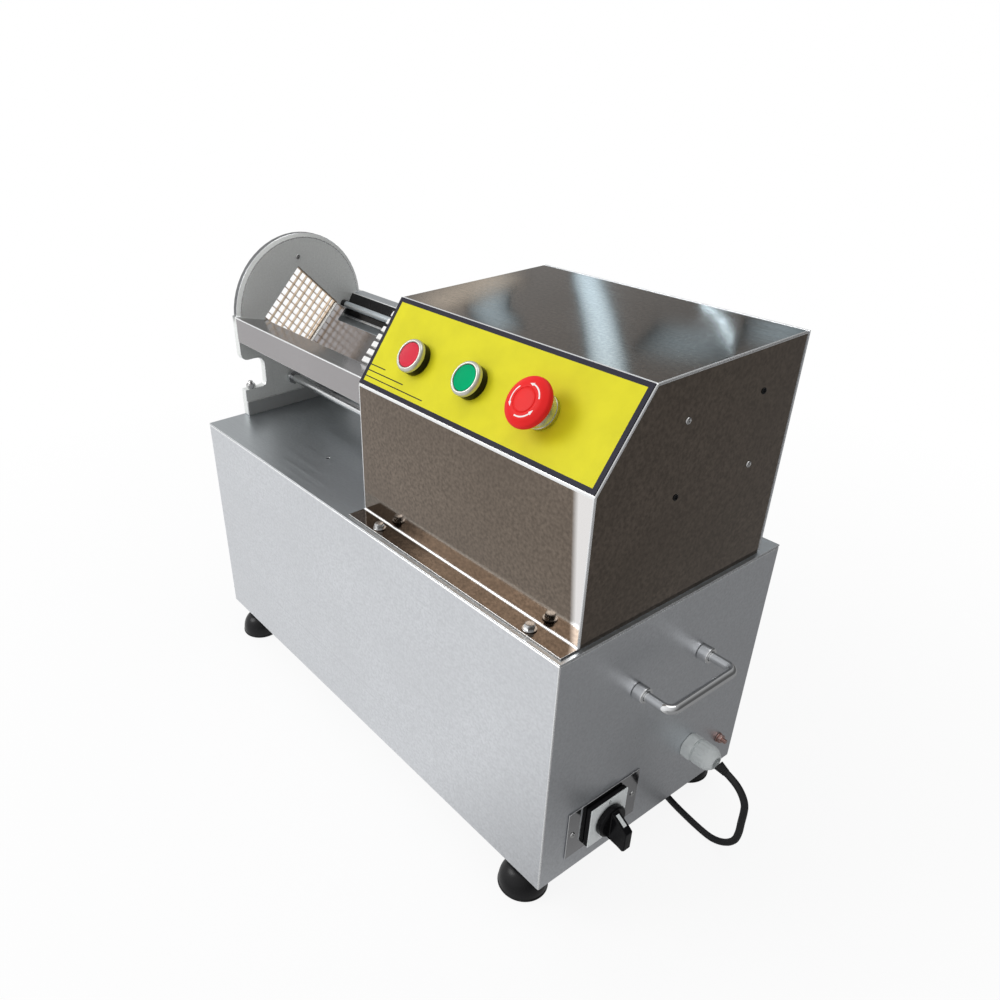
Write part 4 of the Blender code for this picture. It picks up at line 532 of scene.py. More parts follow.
WIDE_LINE = [(0.330, 0.292), (0.354, 0.262), (0.416, 0.206), (0.474, 0.152), (0.545, 0.082), (0.578, 0.049)]
THIN_LINE = [(0.480, 0.276), (0.5025, 0.2528), (0.5347, 0.2278), (0.566, 0.197), (0.5885, 0.1664)]
card("wide_strip", WIDE_LINE, 0.030, 3.0, start=0.78)
card("thin_strip", THIN_LINE, 0.0055, 9.0)
card("corner_strip", [(0.320, 0.185), (0.352, 0.140), (0.385, 0.108), (0.440, 0.078)], 0.040, 1.2)
card("left_glow", [(0.312, 0.20), (0.322, 0.16), (0.332, 0.12), (0.345, 0.07)], 0.060, 1.3, (1.0, 0.92, 0.80))
card("right_glow", [(0.566, 0.262), (0.584, 0.235), (0.602, 0.205)], 0.056, 1.0)
card("low_glow", [(0.540, 0.195), (0.555, 0.160), (0.570, 0.125)], 0.070, 0.8)

# %% [markdown]
# ## Folded sheet and castings
# The flat and folded pieces keep the shape of their solids. A real sheet has no razor edges, though: each
# folded corner and sawn edge shows a thin line of light. A copy of each solid has its triangles rejoined into
# flat faces, and a narrow bevel rounds every edge sharper than a set angle. On most pieces the bevel's faces
# take a pale edge steel, a painted highlight that brightens the line beyond what the round alone catches.

# %% Dressing a solid
BODY_OF = {node: body for body, members in frame["record"]["behaviour"]["bodies"].items() for node in members}
BROAD = 0.004
SHARP = math.radians(30)


def dressed(node, finish, fold, rim, front, edge=0.0003):
    """A merged copy of a solid. An edge between two broad faces is a fold and gets the fold's round. An edge
    of a narrow face, such as a sheet's cut, gets the fine one. A face's breadth is its area over the edge's
    length. An edge that reaches in front of a given Y belongs to a flange's cut and is fine too. Faces with a
    hollow outline are cut into plain ones, so that no face spans the hollow once the edges are round."""
    mesh = bpy.data.meshes.new(node + "_finish")
    shape = bmesh.new()
    shape.from_mesh(NODES[node].data)
    bmesh.ops.remove_doubles(shape, verts=shape.verts, dist=0.000005)
    bmesh.ops.dissolve_limit(shape, angle_limit=math.radians(0.5), verts=shape.verts, edges=shape.edges)
    weight = shape.edges.layers.float.new("bevel_weight_edge")
    for border in shape.edges:
        if border.calc_face_angle(0) > SHARP:
            breadth = min(face.calc_area() for face in border.link_faces) / border.calc_length()
            behind = min(corner.co.y for corner in border.verts) > front
            border[weight] = 1.0 if breadth > BROAD and behind else edge / fold
    for seam in bmesh.ops.connect_verts_concave(shape, faces=shape.faces[:])["edges"]:
        seam[weight] = 0
    for face in shape.faces:
        face.smooth = True
        face.material_index = 0
    shape.to_mesh(mesh)
    shape.free()
    mesh.materials.append(finish)
    piece = stood(node + "_finish", mesh)
    bevel = piece.modifiers.new("round edges", "BEVEL")
    bevel.limit_method = "WEIGHT"
    bevel.width = fold
    bevel.segments = 3
    bevel.use_clamp_overlap = False
    if rim:
        mesh.materials.append(rim)
        bevel.material = 1
    flat = piece.modifiers.new("flat faces", "WEIGHTED_NORMAL")
    flat.weight = 100
    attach(piece, BODY_OF[node])
    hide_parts(node)


def painted(node, finish):
    """The solid itself, with a better material in its slots."""
    for place in NODES[node].material_slots:
        place.material = finish


# %% Sheet, castings and blocks
DRESSED = [
    ("cabinet_shell", satin_steel, "stainless_steel", 0.0012, edge_highlight_steel),
    ("deck_plate", deck_steel, "stainless_steel", 0.0006, edge_highlight_steel),
    ("bottom_cover", deck_steel, "stainless_steel", 0.0004, None),
    ("housing_shell", film_steel, "mirror_steel", 0.0017, edge_highlight_steel),
    ("rear_cover", satin_steel, "stainless_steel", 0.0004, edge_highlight_steel),
    ("head_casting", cast_aluminium, "cast_aluminium", 0.0007, cast_edge),
    ("blade_frame", rod_steel, "bright_steel", 0.0005, None),
    ("trough_sheet", trough_steel, "mirror_steel", 0.0012, edge_highlight_steel),
    ("side_channel", deck_steel, "stainless_steel", 0.0008, edge_highlight_steel),
    ("selector_plate", plate_steel, "mirror_steel", 0.0004, edge_highlight_steel),
    ("selector_body", black_plastic, "black_plastic", 0.0006, None),
    ("selector_dial", pale_plastic, "pale_plastic", 0.0004, None),
    ("selector_knob", black_plastic, "black_plastic", 0.0011, None),
    ("pusher_block", pusher_white, "white_plastic", 0.0005, None),
    ("ram_bar", rod_steel, "bright_steel", 0.0008, None),
]
FLANGED = {"housing_shell": FRONT_Y - 0.001}
for node, finish, slot, fold, rim in DRESSED:
    dressed(node, finish, fold, rim, FLANGED.get(node, -1.0))
print("dressed", len(DRESSED), "solids")

# %% Solids that keep their own shape
PAINTED = [
    ("blades_rising", blade_steel), ("blades_falling", blade_steel), ("channel_lining", black_rubber),
    ("drive_frame", iron_paint), ("ram_guide", cast_aluminium), ("guide_liner", earth_bronze),
    ("shaft_bearing", cast_aluminium), ("ram_rack", gear_steel), ("pinion_shaft", gear_steel),
    ("gearbox", iron_paint), ("gear_motor", iron_paint), ("control_box", grey_plastic),
    ("control_overlay", yellow_film), ("estop_contacts", black_plastic), ("cord_tie", black_rubber),
]
for node, finish in PAINTED:
    painted(node, finish)
print("painted", len(PAINTED), "solids")

# %% [markdown]
# ## Turned pieces
# Feet, buttons, nuts, ferrules and the gland are turned shapes: a profile of radius and height carried round
# an axis. A hexagon is the same shape with its radius capped at the flat's distance over the cosine of the
# angle from the flat, and where the cap meets a chamfer it draws the arcs that every real nut has.

# %% Grids of points become closed meshes
def skin(name, sheets, finish, body, nodes=(), sharp=32):
    """One piece from grids of points, each closed round its columns. Doubled points merge, faces turn out."""
    places = []
    quads = []
    count = 0
    for sheet in sheets:
        rows, columns = sheet.shape[:2]
        index = count + np.arange(rows * columns).reshape(rows, columns)
        beside = np.roll(index, -1, axis=1)
        quads.append(np.stack([index[:-1], beside[:-1], beside[1:], index[1:]], axis=-1).reshape(-1, 4))
        places.append(sheet.reshape(-1, 3))
        count += rows * columns
    mesh = bpy.data.meshes.new(name)
    mesh.from_pydata(np.concatenate(places).tolist(), [], np.concatenate(quads).tolist())
    shape = bmesh.new()
    shape.from_mesh(mesh)
    bmesh.ops.remove_doubles(shape, verts=shape.verts, dist=0.000003)
    bmesh.ops.recalc_face_normals(shape, faces=shape.faces)
    for face in shape.faces:
        face.smooth = True
    shape.to_mesh(mesh)
    shape.free()
    mesh.set_sharp_from_angle(angle=math.radians(sharp))
    mesh.materials.append(finish)
    piece = stood(name, mesh)
    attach(piece, body)
    if nodes:
        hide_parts(*nodes)
    return piece


# %% Profiles and the shapes that they draw
SQUARE = np.array([(-1, -1), (1, -1), (1, 1), (-1, 1)])


def placed(grid, place):
    """The grid's points, turned and moved to a place."""
    turn = np.array(place)
    return grid @ turn[:3, :3].T + turn[:3, 3]


def looped(profile):
    """The profile with its first point again at its end, so that it draws a ring."""
    return np.concatenate([profile, profile[:1]])


def eased(profile, radius, points=4):
    """The profile with each corner drawn as (1-t)(1-t) before + 2t(1-t) corner + t t after, t from 0 to 1."""
    line = np.array(profile, float)
    corner = line[1:-1]
    cuts = []
    for side in (line[:-2] - corner, line[2:] - corner):
        length = np.linalg.norm(side, axis=1)[:, None]
        cuts.append(corner + side / length * np.minimum(radius, 0.45 * length))
    t = np.linspace(0, 1, points)[None, :, None]
    curve = (1 - t) ** 2 * cuts[0][:, None] + 2 * t * (1 - t) * corner[:, None] + t ** 2 * cuts[1][:, None]
    return np.concatenate([line[:1], curve.reshape(-1, 2), line[-1:]])


def turned(profile, place, steps=48, across=None, flutes=(0, 0, 0, 0)):
    """x = r cos a, y = r sin a, z = height; a hexagon caps r, and flutes make r wave between two heights."""
    radius, height = np.array(profile, float).T
    angle = np.arange(steps) * 2 * math.pi / steps
    reach = np.tile(radius[:, None], steps)
    if across:
        reach = np.minimum(reach, across / 2 / np.cos(angle % (math.pi / 3) - math.pi / 6))
    count, depth, low, high = flutes
    if count:
        ribbed = ((height >= low) & (height <= high))[:, None]
        reach = reach * (1 - depth * ribbed * (0.5 + 0.5 * np.cos(count * angle)) ** 2)
    rise = np.tile(height[:, None], steps)
    return placed(np.stack([reach * np.cos(angle), reach * np.sin(angle), rise], axis=-1), place)


def drawn(path, radius, across_plane, sides=28):
    """A round bar along a flat path: each point plus radius times cos b sideways and sin b off the plane."""
    path = np.array(path, float)
    path = np.concatenate([path[:1], path, path[-1:]])
    run = np.gradient(path[1:-1], axis=0)
    run = np.concatenate([run[:1], run, run[-1:]])
    side = np.cross(run, across_plane)
    side = side / np.linalg.norm(side, axis=1)[:, None]
    angle = np.arange(sides) * 2 * math.pi / sides
    ring = np.cos(angle)[None, :, None] * side[:, None, :]
    ring = ring + np.sin(angle)[None, :, None] * np.array(across_plane)
    size = np.full(len(path), radius)
    size[[0, -1]] = 0
    return path[:, None, :] + ring * size[:, None, None]


# %% Places to set them
def upright(x, y, z=0.0):
    """A place on the deck whose own Z points up."""
    return Matrix.Translation(deck(x, y, z))


def outward(x, y, z, dip=0.0):
    """A place whose own Z points to the switch's end, and down by a dip."""
    return Matrix.Translation(deck(x, y, z)) @ Matrix.Rotation(math.pi / 2 + dip, 4, "Y")


FACE_SIDES = (HOUSING_HEIGHT - HOUSING_FRONT_HEIGHT, HOUSING_TOP_FRONT - HOUSING_FRONT)
SLOPE = math.atan2(*FACE_SIDES)
FACE_CORNER = deck(HOUSING_LEFT, HOUSING_FRONT, HOUSING_FRONT_HEIGHT)
PANEL = Matrix.Translation(FACE_CORNER) @ Matrix.Rotation(SLOPE, 4, "X")
BUTTON_UP_FACE = 0.0402


def on_panel(x, y=BUTTON_UP_FACE):
    """A place on the sloping control face: x along it, y up it, Z straight out of it."""
    return PANEL @ Matrix.Translation((x, y, 0))


print("control face slopes", round(math.degrees(SLOPE), 1), "degrees")

# %% [markdown]
# ## Rubber feet
# Each foot is a glossy black dome with a lip, a short neck and a steel stud that passes through the cover and
# the cabinet's bottom rim, where a hexagon nut holds it.

# %% Feet and their studs
FOOT_PLACES = {
    "foot_front_left": (0.036, 0.0175), "foot_front_right": (0.564, 0.0175),
    "foot_rear_left": (0.036, 0.2655), "foot_rear_right": (0.564, 0.2655),
}
FLOOR_Z = -CORNER.z
NECK = 0.0085
quarter = np.linspace(0, math.pi / 2, 14)
dome = np.stack([NECK + 0.0155 * np.cos(quarter), 0.0045 + 0.02286 * np.sin(quarter)], axis=1)
foot_profile = np.concatenate([
    eased([(0, 0.0008), (0.0165, 0.0008), (0.0175, 0.0), (0.0222, 0.0), (0.0246, 0.0018), (0.0246, 0.0036),
           (0.0240, 0.0044)], 0.0006),
    dome,
    [(NECK, 0.0277), (NECK, 0.0350), (NECK - 0.0007, 0.0357), (0, 0.0357)],
])
NUT_SEAT = 0.0396
stud_profile = [(0, 0.0357), (0.0039, 0.0357), (0.0039, NUT_SEAT + 0.0104), (0.0033, NUT_SEAT + 0.0110),
                (0, NUT_SEAT + 0.0110)]
nut_profile = [(0, NUT_SEAT), (0.0062, NUT_SEAT), (0.0072, NUT_SEAT + 0.0008), (0.0072, NUT_SEAT + 0.0057),
               (0.0062, NUT_SEAT + 0.0065), (0, NUT_SEAT + 0.0065)]
studs = []
for node, (x, y) in FOOT_PLACES.items():
    place = upright(x, y, FLOOR_Z)
    skin(node + "_rubber", [turned(foot_profile, place, 64)], black_rubber, "machine", [node])
    studs += [turned(stud_profile, place, 24), turned(nut_profile, place, 48, across=0.0125)]
skin("foot_studs", studs, screw_steel, "machine")
print("feet:", len(FOOT_PLACES), "dome points:", len(foot_profile))

# %% [markdown]
# ## Bolts, rods and nuts
# The housing is held by two hexagon bolts on washers, the head by two studs with nuts, and two rods tie the
# head to the drive frame. A rod and its nuts are one profile, because the rod is thinner than the hexagon.

# %% Hexagons and threads
LINE_Y = 0.1390
ROD_Z = 0.0360


def nut(start, end, bore, corner, chamfer=0.0010):
    """The profile of a nut between two heights, chamfered at both ends and joined to its bore."""
    return [(bore, start), (corner - chamfer, start), (corner, start + chamfer * 0.7),
            (corner, end - chamfer * 0.7), (corner - chamfer, end), (bore, end)]


def thread(radius, start, end, pitch=0.0005, depth=0.00022):
    """Points up a thread: the radius falls by the depth at every second half pitch."""
    count = 2 * int((end - start) / pitch) + 1
    return list(zip(radius - depth * (np.arange(count) % 2), np.linspace(start, end, count)))


bolt = [(0, 0.0006), (0.0048, 0.0006), (0.0048, 0.0044), (0.0039, 0.0054), (0.0030, 0.0056), (0, 0.0056)]
washer = eased([(0, 0), (0.0062, 0), (0.0062, 0.0010), (0, 0.0010)], 0.0003)
shank = [(0, -0.0120), (0.0026, -0.0120), (0.0029, -0.0115), (0.0029, 0), (0, 0)]
for node, x in (("flange_bolt_left", 0.3475), ("flange_bolt_right", 0.5540)):
    place = upright(x, 0.01228, 0.0021)
    grids = [turned(bolt, place, 48, across=0.0083), turned(washer, place), turned(shank, place, 24)]
    skin(node + "_steel", grids, screw_steel, "machine", [node])

stud = [(0, -0.0096), (0.0030, -0.0096), *nut(0.0333, 0.0383, 0.0030, 0.0058)]
stud += [*thread(0.0030, 0.0386, 0.0412), (0.0024, 0.0418), (0, 0.0418)]
for node, y in (("head_stud_front", LINE_Y - 0.0790), ("head_stud_rear", LINE_Y + 0.0790)):
    skin(node + "_steel", [turned(stud, upright(0.005, y), 48, across=0.01005)], screw_steel, "machine",
         [node])

rod = [(0, -0.0083), (0.0042, -0.0083), (0.0046, -0.0082), *nut(-0.0081, -0.0003, 0.0050, 0.0092)]
rod += [*nut(0.0103, 0.0155, 0.0050, 0.0092), (0.0050, 0.020), (0.0050, 0.300)]
rod += [*nut(0.3188, 0.3268, 0.0050, 0.0092), (0.0050, 0.3278), (0.0044, 0.3283), (0, 0.3283)]
for node, offset in (("tie_rod_front", -0.022), ("tie_rod_rear", 0.022)):
    skin(node + "_steel", [turned(rod, outward(0, LINE_Y + offset, ROD_Z), 48, across=0.01593)], rod_steel,
         "machine", [node])

# %% The rail over the side channel, in its rubber ring
RAIL_Y = LINE_Y + 0.061
rail_place = outward(0, RAIL_Y, 0.113)
rail = [(0, 0.0103), (0.0036, 0.0103), (0.0040, 0.0107), (0.0040, 0.3048), (0.0036, 0.3052), (0, 0.3052)]
skin("side_rail_steel", [turned(rail, rail_place, 32)], rail_steel, "machine", ["side_rail"])
cap = eased([(0.0041, 0.0104), (0.0047, 0.0104), (0.0048, 0.0110), (0.0048, 0.0170), (0.0041, 0.0176)],
            0.0004)
skin("rail_cap", [turned(looped(cap), rail_place, 40)], black_rubber, "machine")

# %% [markdown]
# ## Push buttons and the emergency stop
# A button is a black collar, a bright ring with a rounded rim, and a coloured cap that lies a little dished
# inside it. The cap moves with the button's own body; collar and ring stay on the machine. The emergency stop
# has a sloped steel collar and a red mushroom with a groove round its middle and three white arrows.

# %% Push buttons
SEAT = 0.0012
INNER = -0.0055
COLLAR_TOP = SEAT + 0.0068
RING_TOP = COLLAR_TOP + 0.0055
CAP_TOP = RING_TOP - 0.0006
CAP_FOOT = COLLAR_TOP - 0.0010
collar = eased([(0.0072, INNER), (0.0108, INNER), (0.0108, SEAT), (0.0148, SEAT), (0.0148, COLLAR_TOP),
                (0.0072, COLLAR_TOP)], 0.0005)
DIAGONAL = math.sqrt(2)
contacts = [(0, INNER - 0.0400), (0.0140 * DIAGONAL, INNER - 0.0400), (0.0150 * DIAGONAL, INNER - 0.0390),
            (0.0150 * DIAGONAL, INNER - 0.0008), (0.0142 * DIAGONAL, INNER), (0, INNER)]
ring = eased([(0.0116, COLLAR_TOP + 0.0003), (0.0150, COLLAR_TOP + 0.0003), (0.0150, RING_TOP - 0.0026),
              (0.0142, RING_TOP - 0.0009), (0.0130, RING_TOP), (0.0121, RING_TOP),
              (0.0116, RING_TOP - 0.0006)], 0.0005)
cap = eased([(0, CAP_FOOT), (0.0066, CAP_FOOT), (0.0066, CAP_FOOT + 0.0046), (0.0112, CAP_FOOT + 0.0046),
             (0.0112, CAP_TOP - 0.0003), (0.0107, CAP_TOP), (0.0100, CAP_TOP - 0.0001),
             (0.0075, CAP_TOP - 0.0006), (0, CAP_TOP - 0.0009)], 0.0004)
quarter_turn = Matrix.Rotation(math.pi / 4, 4, "Z")
BUTTONS = [
    ("jog_button", 0.0605, red_plastic, "red_plastic"),
    ("auto_button", 0.1340, green_plastic, "green_plastic"),
]
for label, x, finish, slot in BUTTONS:
    place = on_panel(x)
    body = [turned(looped(collar), place, 64), turned(contacts, place @ quarter_turn, 4)]
    skin(label + "_collar", body, black_plastic, "machine", [label + "_body"])
    ribs = (64, 0.010, COLLAR_TOP + 0.0006, COLLAR_TOP + 0.0032)
    skin(label + "_ring", [turned(looped(ring), place, 192, flutes=ribs)], ring_steel, "machine",
         [label + "_bezel"])
    skin(label + "_face", [turned(cap, place, 64)], finish, label, [label + "_cap"])
print("buttons:", len(BUTTONS))

# %% The emergency stop
ESTOP = on_panel(0.2139)
ESTOP_COLLAR = SEAT + 0.0097
CROWN_LOW = ESTOP_COLLAR + 0.0057
CROWN_TOP = CROWN_LOW + 0.0105
collar = eased([(0.0088, INNER), (0.0108, INNER), (0.0108, SEAT), (0.0145, SEAT), (0.0145, SEAT + 0.0033),
                (0.0141, SEAT + 0.0037), (0.0120, ESTOP_COLLAR), (0.0088, ESTOP_COLLAR)], 0.0005)
skin("estop_collar", [turned(looped(collar), ESTOP, 64)], screw_steel, "machine",
     ["estop_body"])
stem = eased([(0, -0.0009), (0.0085, -0.0009), (0.0085, CROWN_LOW - 0.0003), (0.0040, CROWN_LOW - 0.0003),
              (0.0040, CROWN_LOW + 0.0030), (0, CROWN_LOW + 0.0030)], 0.0003)
skin("estop_shaft", [turned(stem, ESTOP, 48)], black_plastic, "estop_plunger",
     ["estop_stem"])
crown = eased([
    (0, CROWN_LOW + 0.0033), (0.0043, CROWN_LOW + 0.0033), (0.0043, CROWN_LOW), (0.0171, CROWN_LOW),
    (0.0200, CROWN_LOW + 0.0022), (0.0206, CROWN_LOW + 0.0045), (0.0196, CROWN_LOW + 0.0072),
    (0.0150, CROWN_TOP - 0.0009), (0.0104, CROWN_TOP - 0.0001), (0.0100, CROWN_TOP - 0.0007),
    (0.0095, CROWN_TOP - 0.0007), (0.0091, CROWN_TOP - 0.0001), (0.0060, CROWN_TOP), (0, CROWN_TOP),
], 0.0012)
skin("estop_crown", [turned(crown, ESTOP, 96)], stop_red, "estop_head", ["estop_mushroom"])


def arc_arrow(start, sweep=math.radians(80), middle=0.0128, half=0.00055, tip=0.0014):
    """A strip bent round the crown, with an arrow head: the half width is a step, then falls to nothing."""
    share = np.concatenate([[0, 0], np.linspace(0, 0.78, 20), [0.78, 1.0, 1.0]])
    width = np.concatenate([[0, half], np.full(20, half), [tip, 0.00002, 0]])
    angle = start + sweep * share
    radius = middle + width[:, None] * SQUARE[None, :, 0]
    skin_height = CROWN_TOP - 0.0001 - 0.0008 * (radius - 0.0104) / 0.0046
    height = skin_height + np.where(SQUARE[None, :, 1] > 0, 0.00010, -0.0004)
    grid = np.stack([radius * np.cos(angle)[:, None], radius * np.sin(angle)[:, None], height], axis=-1)
    return placed(grid, ESTOP)


arrows = [arc_arrow(math.radians(s)) for s in (20, 140, 260)]
skin("estop_arrows", arrows, white_ink, "estop_head")

# %% [markdown]
# ## The control face's print
# The yellow film has a dark border and three dark lines that grow longer towards its lower edge. They are ink
# on the film, so each is a slab a tenth of a millimetre high with its foot in the film.

# %% Border and lines
FILM_TOP = 0.0009


def framed(outer, inner, low=FILM_TOP - 0.0002, high=FILM_TOP + 0.00006):
    """A flat frame with mitred corners: the outer rectangle, its copy at the top, the inner one, and back."""
    corners = np.array([(0, 0), (1, 0), (1, 1), (0, 1)])
    rows = []
    for box, level in ((outer, low), (outer, high), (inner, high), (inner, low), (outer, low)):
        x0, x1, y0, y1 = box
        flat = np.stack([x0 + (x1 - x0) * corners[:, 0], y0 + (y1 - y0) * corners[:, 1]], axis=1)
        rows.append(np.concatenate([flat, np.full((4, 1), level)], axis=1))
    return placed(np.stack(rows), PANEL)


def bar(x0, x1, y0, y1):
    """A flat bar: a frame whose inner rectangle has closed to a line."""
    middle = (y0 + y1) / 2
    return framed((x0, x1, y0, y1), (x0, x1, middle, middle))


EDGE = 0.0012
INSET = 0.0054
FACE_LENGTH = HOUSING_RIGHT - HOUSING_LEFT
FACE_RISE = math.hypot(*FACE_SIDES)
border = framed((EDGE, FACE_LENGTH - EDGE, EDGE, FACE_RISE - 0.0004),
                (INSET, FACE_LENGTH - INSET, INSET, FACE_RISE - INSET + 0.0010), low=-0.0005)
STRIPES = ((0.0889, 0.0096), (0.0576, 0.0152), (0.0273, 0.0207))
lines = [bar(INSET, end, up, up + 0.0009) for end, up in STRIPES]
skin("overlay_print", [border, *lines], navy_ink, "machine")

# %% [markdown]
# ## Handle, gland and earth screw
# The carrying handle is a chromed bar of two legs and two round bends, set in two turned ferrules. The gland
# is a grey nylon hexagon with a ribbed dome nut, and beside it an earth screw goes through the wall.

# %% The handle
HANDLE_Z = -0.0775
LEGS = (0.1015, 0.1895)
BEND = 0.0080
BAR_X = 0.6354
turn_angle = np.linspace(0, math.pi / 2, 14)
near_bend = [BAR_X - BEND * (1 - np.sin(turn_angle)), LEGS[0] + BEND * (1 - np.cos(turn_angle))]
near_bend = np.stack(near_bend, axis=1)
far_bend = near_bend[::-1] * (1, -1) + (0, LEGS[0] + LEGS[1])
flat_path = np.concatenate([[(0.6030, LEGS[0])], near_bend, far_bend, [(0.6030, LEGS[1])]])
handle_path = np.concatenate([flat_path, np.full((len(flat_path), 1), HANDLE_Z)], axis=1) + np.array(CORNER)
skin("handle_chrome", [drawn(handle_path, 0.0046, (0, 0, 1))], chrome, "machine", ["handle_bar"])
WALL_FACE = 0.6003
WALL_BACK = 0.5982
ferrule = eased([
    (0, WALL_BACK - 0.0060), (0.0055, WALL_BACK - 0.0060), (0.0055, WALL_BACK), (0.0031, WALL_BACK),
    (0.0031, WALL_FACE), (0.0080, WALL_FACE), (0.0080, 0.6098), (0.0072, 0.6108), (0.0049, 0.6108),
    (0.0049, 0.6025), (0, 0.6025),
], 0.0004)
for node, y in zip(("handle_ferrule_front", "handle_ferrule_rear"), LEGS):
    place = outward(0, y, HANDLE_Z)
    skin(node + "_chrome", [turned(ferrule, place, 48)], chrome, "machine", [node])

# %% Gland and earth screw
GLAND = outward(0, 0.2005, -0.2000)
flange = [(0, WALL_FACE), (0.0134, WALL_FACE), (0.0136, 0.6006), (0.0136, 0.6090), (0.0126, 0.6102)]
flange.append((0, 0.6102))
barrel = [(0, 0.5882), (0.0095, 0.5882), (0.0095, 0.6090), *thread(0.0116, 0.6103, 0.6120, 0.0008)]
barrel.append((0, 0.6120))
dome_nut = eased([(0, 0.6121), (0.0122, 0.6121), (0.0130, 0.6128), (0.0130, 0.6228), (0.0127, 0.6245),
                  (0.0117, 0.6280), (0.0086, 0.6318), (0.0068, 0.6330), (0.0055, 0.6328), (0.0053, 0.6300),
                  (0, 0.6300)], 0.0010, 5)
lock_nut = [(0, 0.5922), *nut(0.5922, 0.5982, 0.0096, 0.0150), (0, 0.5982)]
ribs = (18, 0.030, 0.6130, 0.6240)
grids = [turned(flange, GLAND, 48, across=0.0250), turned(barrel, GLAND, 40)]
grids += [turned(lock_nut, GLAND, 48, across=0.026), turned(dome_nut, GLAND, 144, flutes=ribs)]
skin("gland_nylon", grids, grey_plastic, "machine", ["cable_gland"])
EARTH = outward(0, 0.254, -0.222)
screw = [(0, 0.5912), (0.0025, 0.5912), (0.0025, 0.5930), *nut(0.5942, 0.5982, 0.0025, 0.0045, 0.0006),
         (0.0025, WALL_FACE), (0.0025, 0.6015), *nut(0.6016, 0.6053, 0.0025, 0.0050, 0.0008)]
screw += [*thread(0.0025, 0.6056, 0.6094), (0.0021, 0.6098), (0, 0.6098)]
disc = eased([(0, WALL_FACE), (0.0055, WALL_FACE), (0.0055, 0.6015), (0, 0.6015)], 0.0003)
skin("earth_screw_bronze", [turned(screw, EARTH, 48, across=0.0087), turned(disc, EARTH, 40)], earth_bronze,
     "machine", ["earth_screw"])

# %% The cord's sleeve and plug
SLEEVE = Matrix.Translation(GLAND_END + tilt * SLEEVE_START)
SLEEVE = SLEEVE @ Matrix.Rotation(math.pi / 2 + SLEEVE_TILT, 4, "Y")
rings = np.linspace(0.0008, 0.0092, 22)
ribs = np.stack([0.0055 - 0.15 * rings - 0.00035 * (np.arange(22) // 2 % 2), rings], axis=1)
sleeve = np.concatenate([[(0, 0.0003), (0.0052, 0.0003)], ribs, [(0.0039, 0.0100), (0, 0.0100)]])
skin("cord_sleeve_rubber", [turned(sleeve, SLEEVE, 40)], cord_rubber, "machine",
     ["cord_sleeve"])
PLUG = Matrix.Translation(plug_face) @ Matrix.Rotation(-math.pi / 2, 4, "Y")
grip = eased([(0, 0.0002), (0.0055, 0.0002), (0.0058, 0.0030), (0.0070, 0.0120), (0.0125, 0.0160),
              (0.0165, 0.0260), (0.0178, 0.0300), (0.0178, 0.0438), (0.0166, 0.0450), (0, 0.0450)], 0.0020, 6)
plug_grip = skin("plug_grip", [turned(grip, PLUG, 96, flutes=(24, 0.03, 0.0290, 0.0440))], black_plastic,
                 "machine", ["mains_plug"])
pin = eased([(0, 0.0440), (0.0024, 0.0440), (0.0024, 0.0620), (0.0014, 0.0640), (0, 0.0640)], 0.0008)
pins = [turned(pin, PLUG @ Matrix.Translation((0, side, 0)), 24) for side in (-0.0095, 0.0095)]
plug_pins = skin("plug_pins", pins, chrome, "machine", ["mains_plug"])

# %% [markdown]
# ## Small screws, dial marks and the knob's pointer
# Pan heads with a cross recess hold the switch's plate, the control box, the rear cover and the blade frame.
# The recess is worked into the head's own surface, so it catches light like a real one.

# %% Cross-headed screws
def cross_head(place, radius, height):
    """A dome, height times (1 - r r) to the power 0.35, less a recess where the point lies in either slot."""
    share = np.concatenate([np.linspace(0, 1, 16), [1.0, 0.0]])
    angle = np.arange(48) * 2 * math.pi / 48
    x, y = share[:, None] * np.cos(angle), share[:, None] * np.sin(angle)
    level = np.clip(1 - share ** 2, 0, 1)[:, None] ** 0.35 * np.ones(48)
    slots = []
    for a, b in ((x, y), (y, x)):
        slots.append(np.clip((0.20 - np.abs(a)) / 0.07, 0, 1) * np.clip((0.66 - np.abs(b)) / 0.10, 0, 1))
    level = height * (level - 0.6 * np.maximum(*slots) * (share < 0.9)[:, None])
    level[-2:] = -0.0004
    return placed(np.stack([x * radius, y * radius, level], axis=-1), place)


BOX_Y = (0.1163, 0.2080)
BOX_Z = (0.1028, 0.1653)
SWITCH_Y = 0.0775
SWITCH_Z = -0.2140
PLATE_FACE = 0.6015
bright = [outward(HOUSING_RIGHT, BOX_Y[0], BOX_Z[1]), outward(HOUSING_RIGHT, BOX_Y[1], BOX_Z[0])]
black = [outward(HOUSING_RIGHT, BOX_Y[1], BOX_Z[1]), outward(HOUSING_RIGHT, BOX_Y[0], BOX_Z[0])]
bright += [outward(PLATE_FACE, SWITCH_Y + side, SWITCH_Z) for side in (-0.0403, 0.0403)]
backward = Matrix.Rotation(-math.pi / 2, 4, "X")
for x in (0.3115, 0.5900):
    bright += [Matrix.Translation(deck(x, 0.2570, z)) @ backward for z in (0.0214, 0.1014, 0.1814)]
skin("small_screws", [cross_head(p, 0.0029, 0.0016) for p in bright], screw_steel, "machine")
skin("black_screws", [cross_head(p, 0.0027, 0.0014) for p in black], black_plastic, "machine")
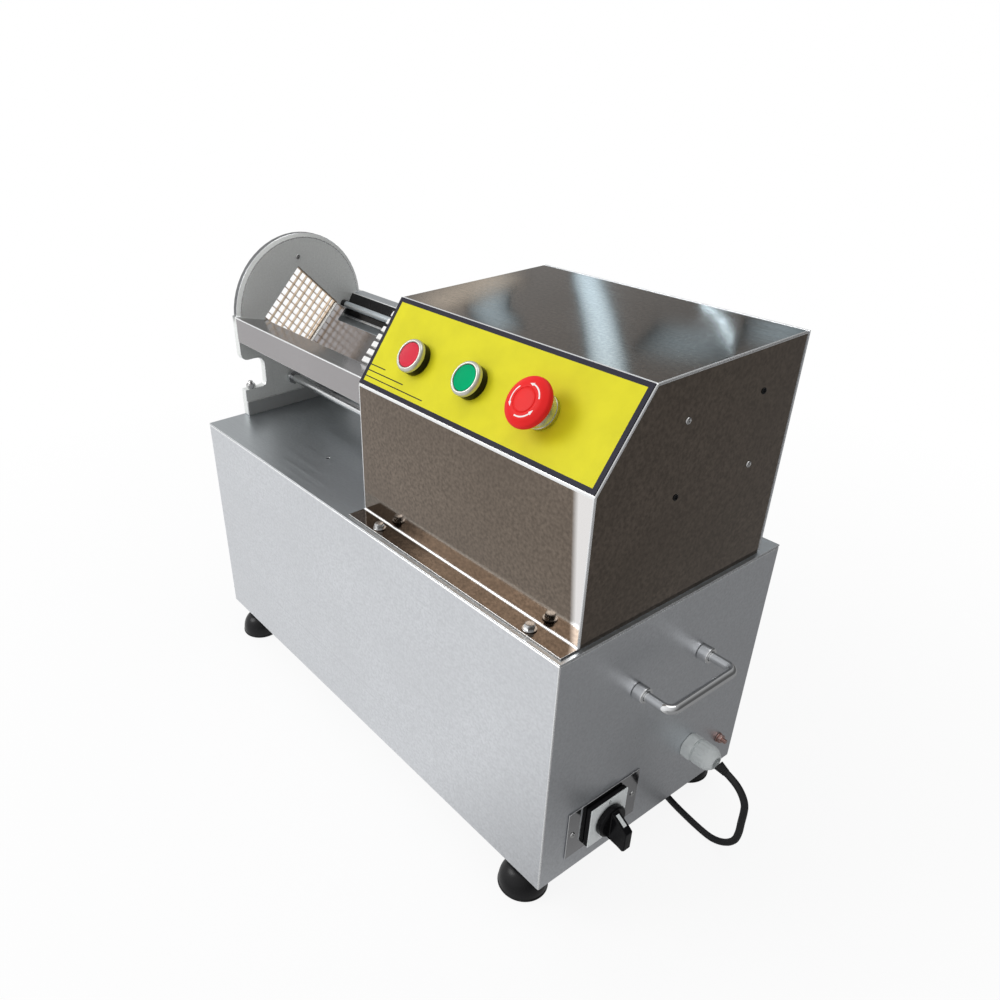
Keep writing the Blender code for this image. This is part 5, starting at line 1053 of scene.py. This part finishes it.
offsets = ((0, 0.0636), (0, -0.0636), (0.0545, -0.0090), (-0.0545, -0.0090))
frame_screws = [cross_head(outward(0.0100, LINE_Y + a, 0.1160 + b), 0.0031, 0.0022) for a, b in offsets]
skin("blade_frame_screws", frame_screws, screw_steel, "machine")
print("screws:", len(bright) + len(black) + len(frame_screws))

# %% Marks on the dial and the knob's pointer
DIAL_FACE = 0.6076
KNOB_SEAT = 0.6079
MARK_RADIUS = 0.0203
ONTO_DIAL = Matrix(((0, 0, 1), (1, 0, 0), (0, 1, 0))).to_4x4()


def numeral(text, y, z, size=0.0062):
    """A figure set in the font, made a mesh, and turned so that it reads on the dial."""
    letters = bpy.data.curves.new("figure " + text, "FONT")
    letters.body = text
    letters.size = size
    letters.extrude = 0.00008
    letters.align_x = "CENTER"
    letters.align_y = "CENTER"
    stand_in = stood("figure " + text, letters)
    bpy.context.view_layer.update()
    mesh = bpy.data.meshes.new_from_object(stand_in)
    bpy.data.objects.remove(stand_in)
    mesh.transform(Matrix.Translation(deck(DIAL_FACE, y, z)) @ ONTO_DIAL)
    mesh.materials.clear()
    mesh.materials.append(dark_ink)
    piece = stood("dial_figure_" + text, mesh)
    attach(piece, "machine")


numeral("0", SWITCH_Y, SWITCH_Z + MARK_RADIUS)
numeral("1", SWITCH_Y + MARK_RADIUS, SWITCH_Z)
pointer_place = np.array([(KNOB_SEAT + 0.0068, 0.0142), (KNOB_SEAT + 0.0195, 0.0062)])
run = pointer_place[1] - pointer_place[0]
lift = np.array([-run[1], run[0]]) / np.linalg.norm(run)
rows = []
for end, width in ((0, 0), (0, 1), (1, 1), (1, 0)):
    x, z = pointer_place[end]
    corners = SQUARE * (0.0020 * width, 0.00035 * width)
    point = np.array([x, SWITCH_Y, z + SWITCH_Z])
    rows.append(point + np.stack([lift[0] * corners[:, 1], corners[:, 0], lift[1] * corners[:, 1]], axis=1))
pointer = np.stack(rows) + np.array(CORNER)
skin("knob_pointer", [pointer], pale_plastic, "selector")
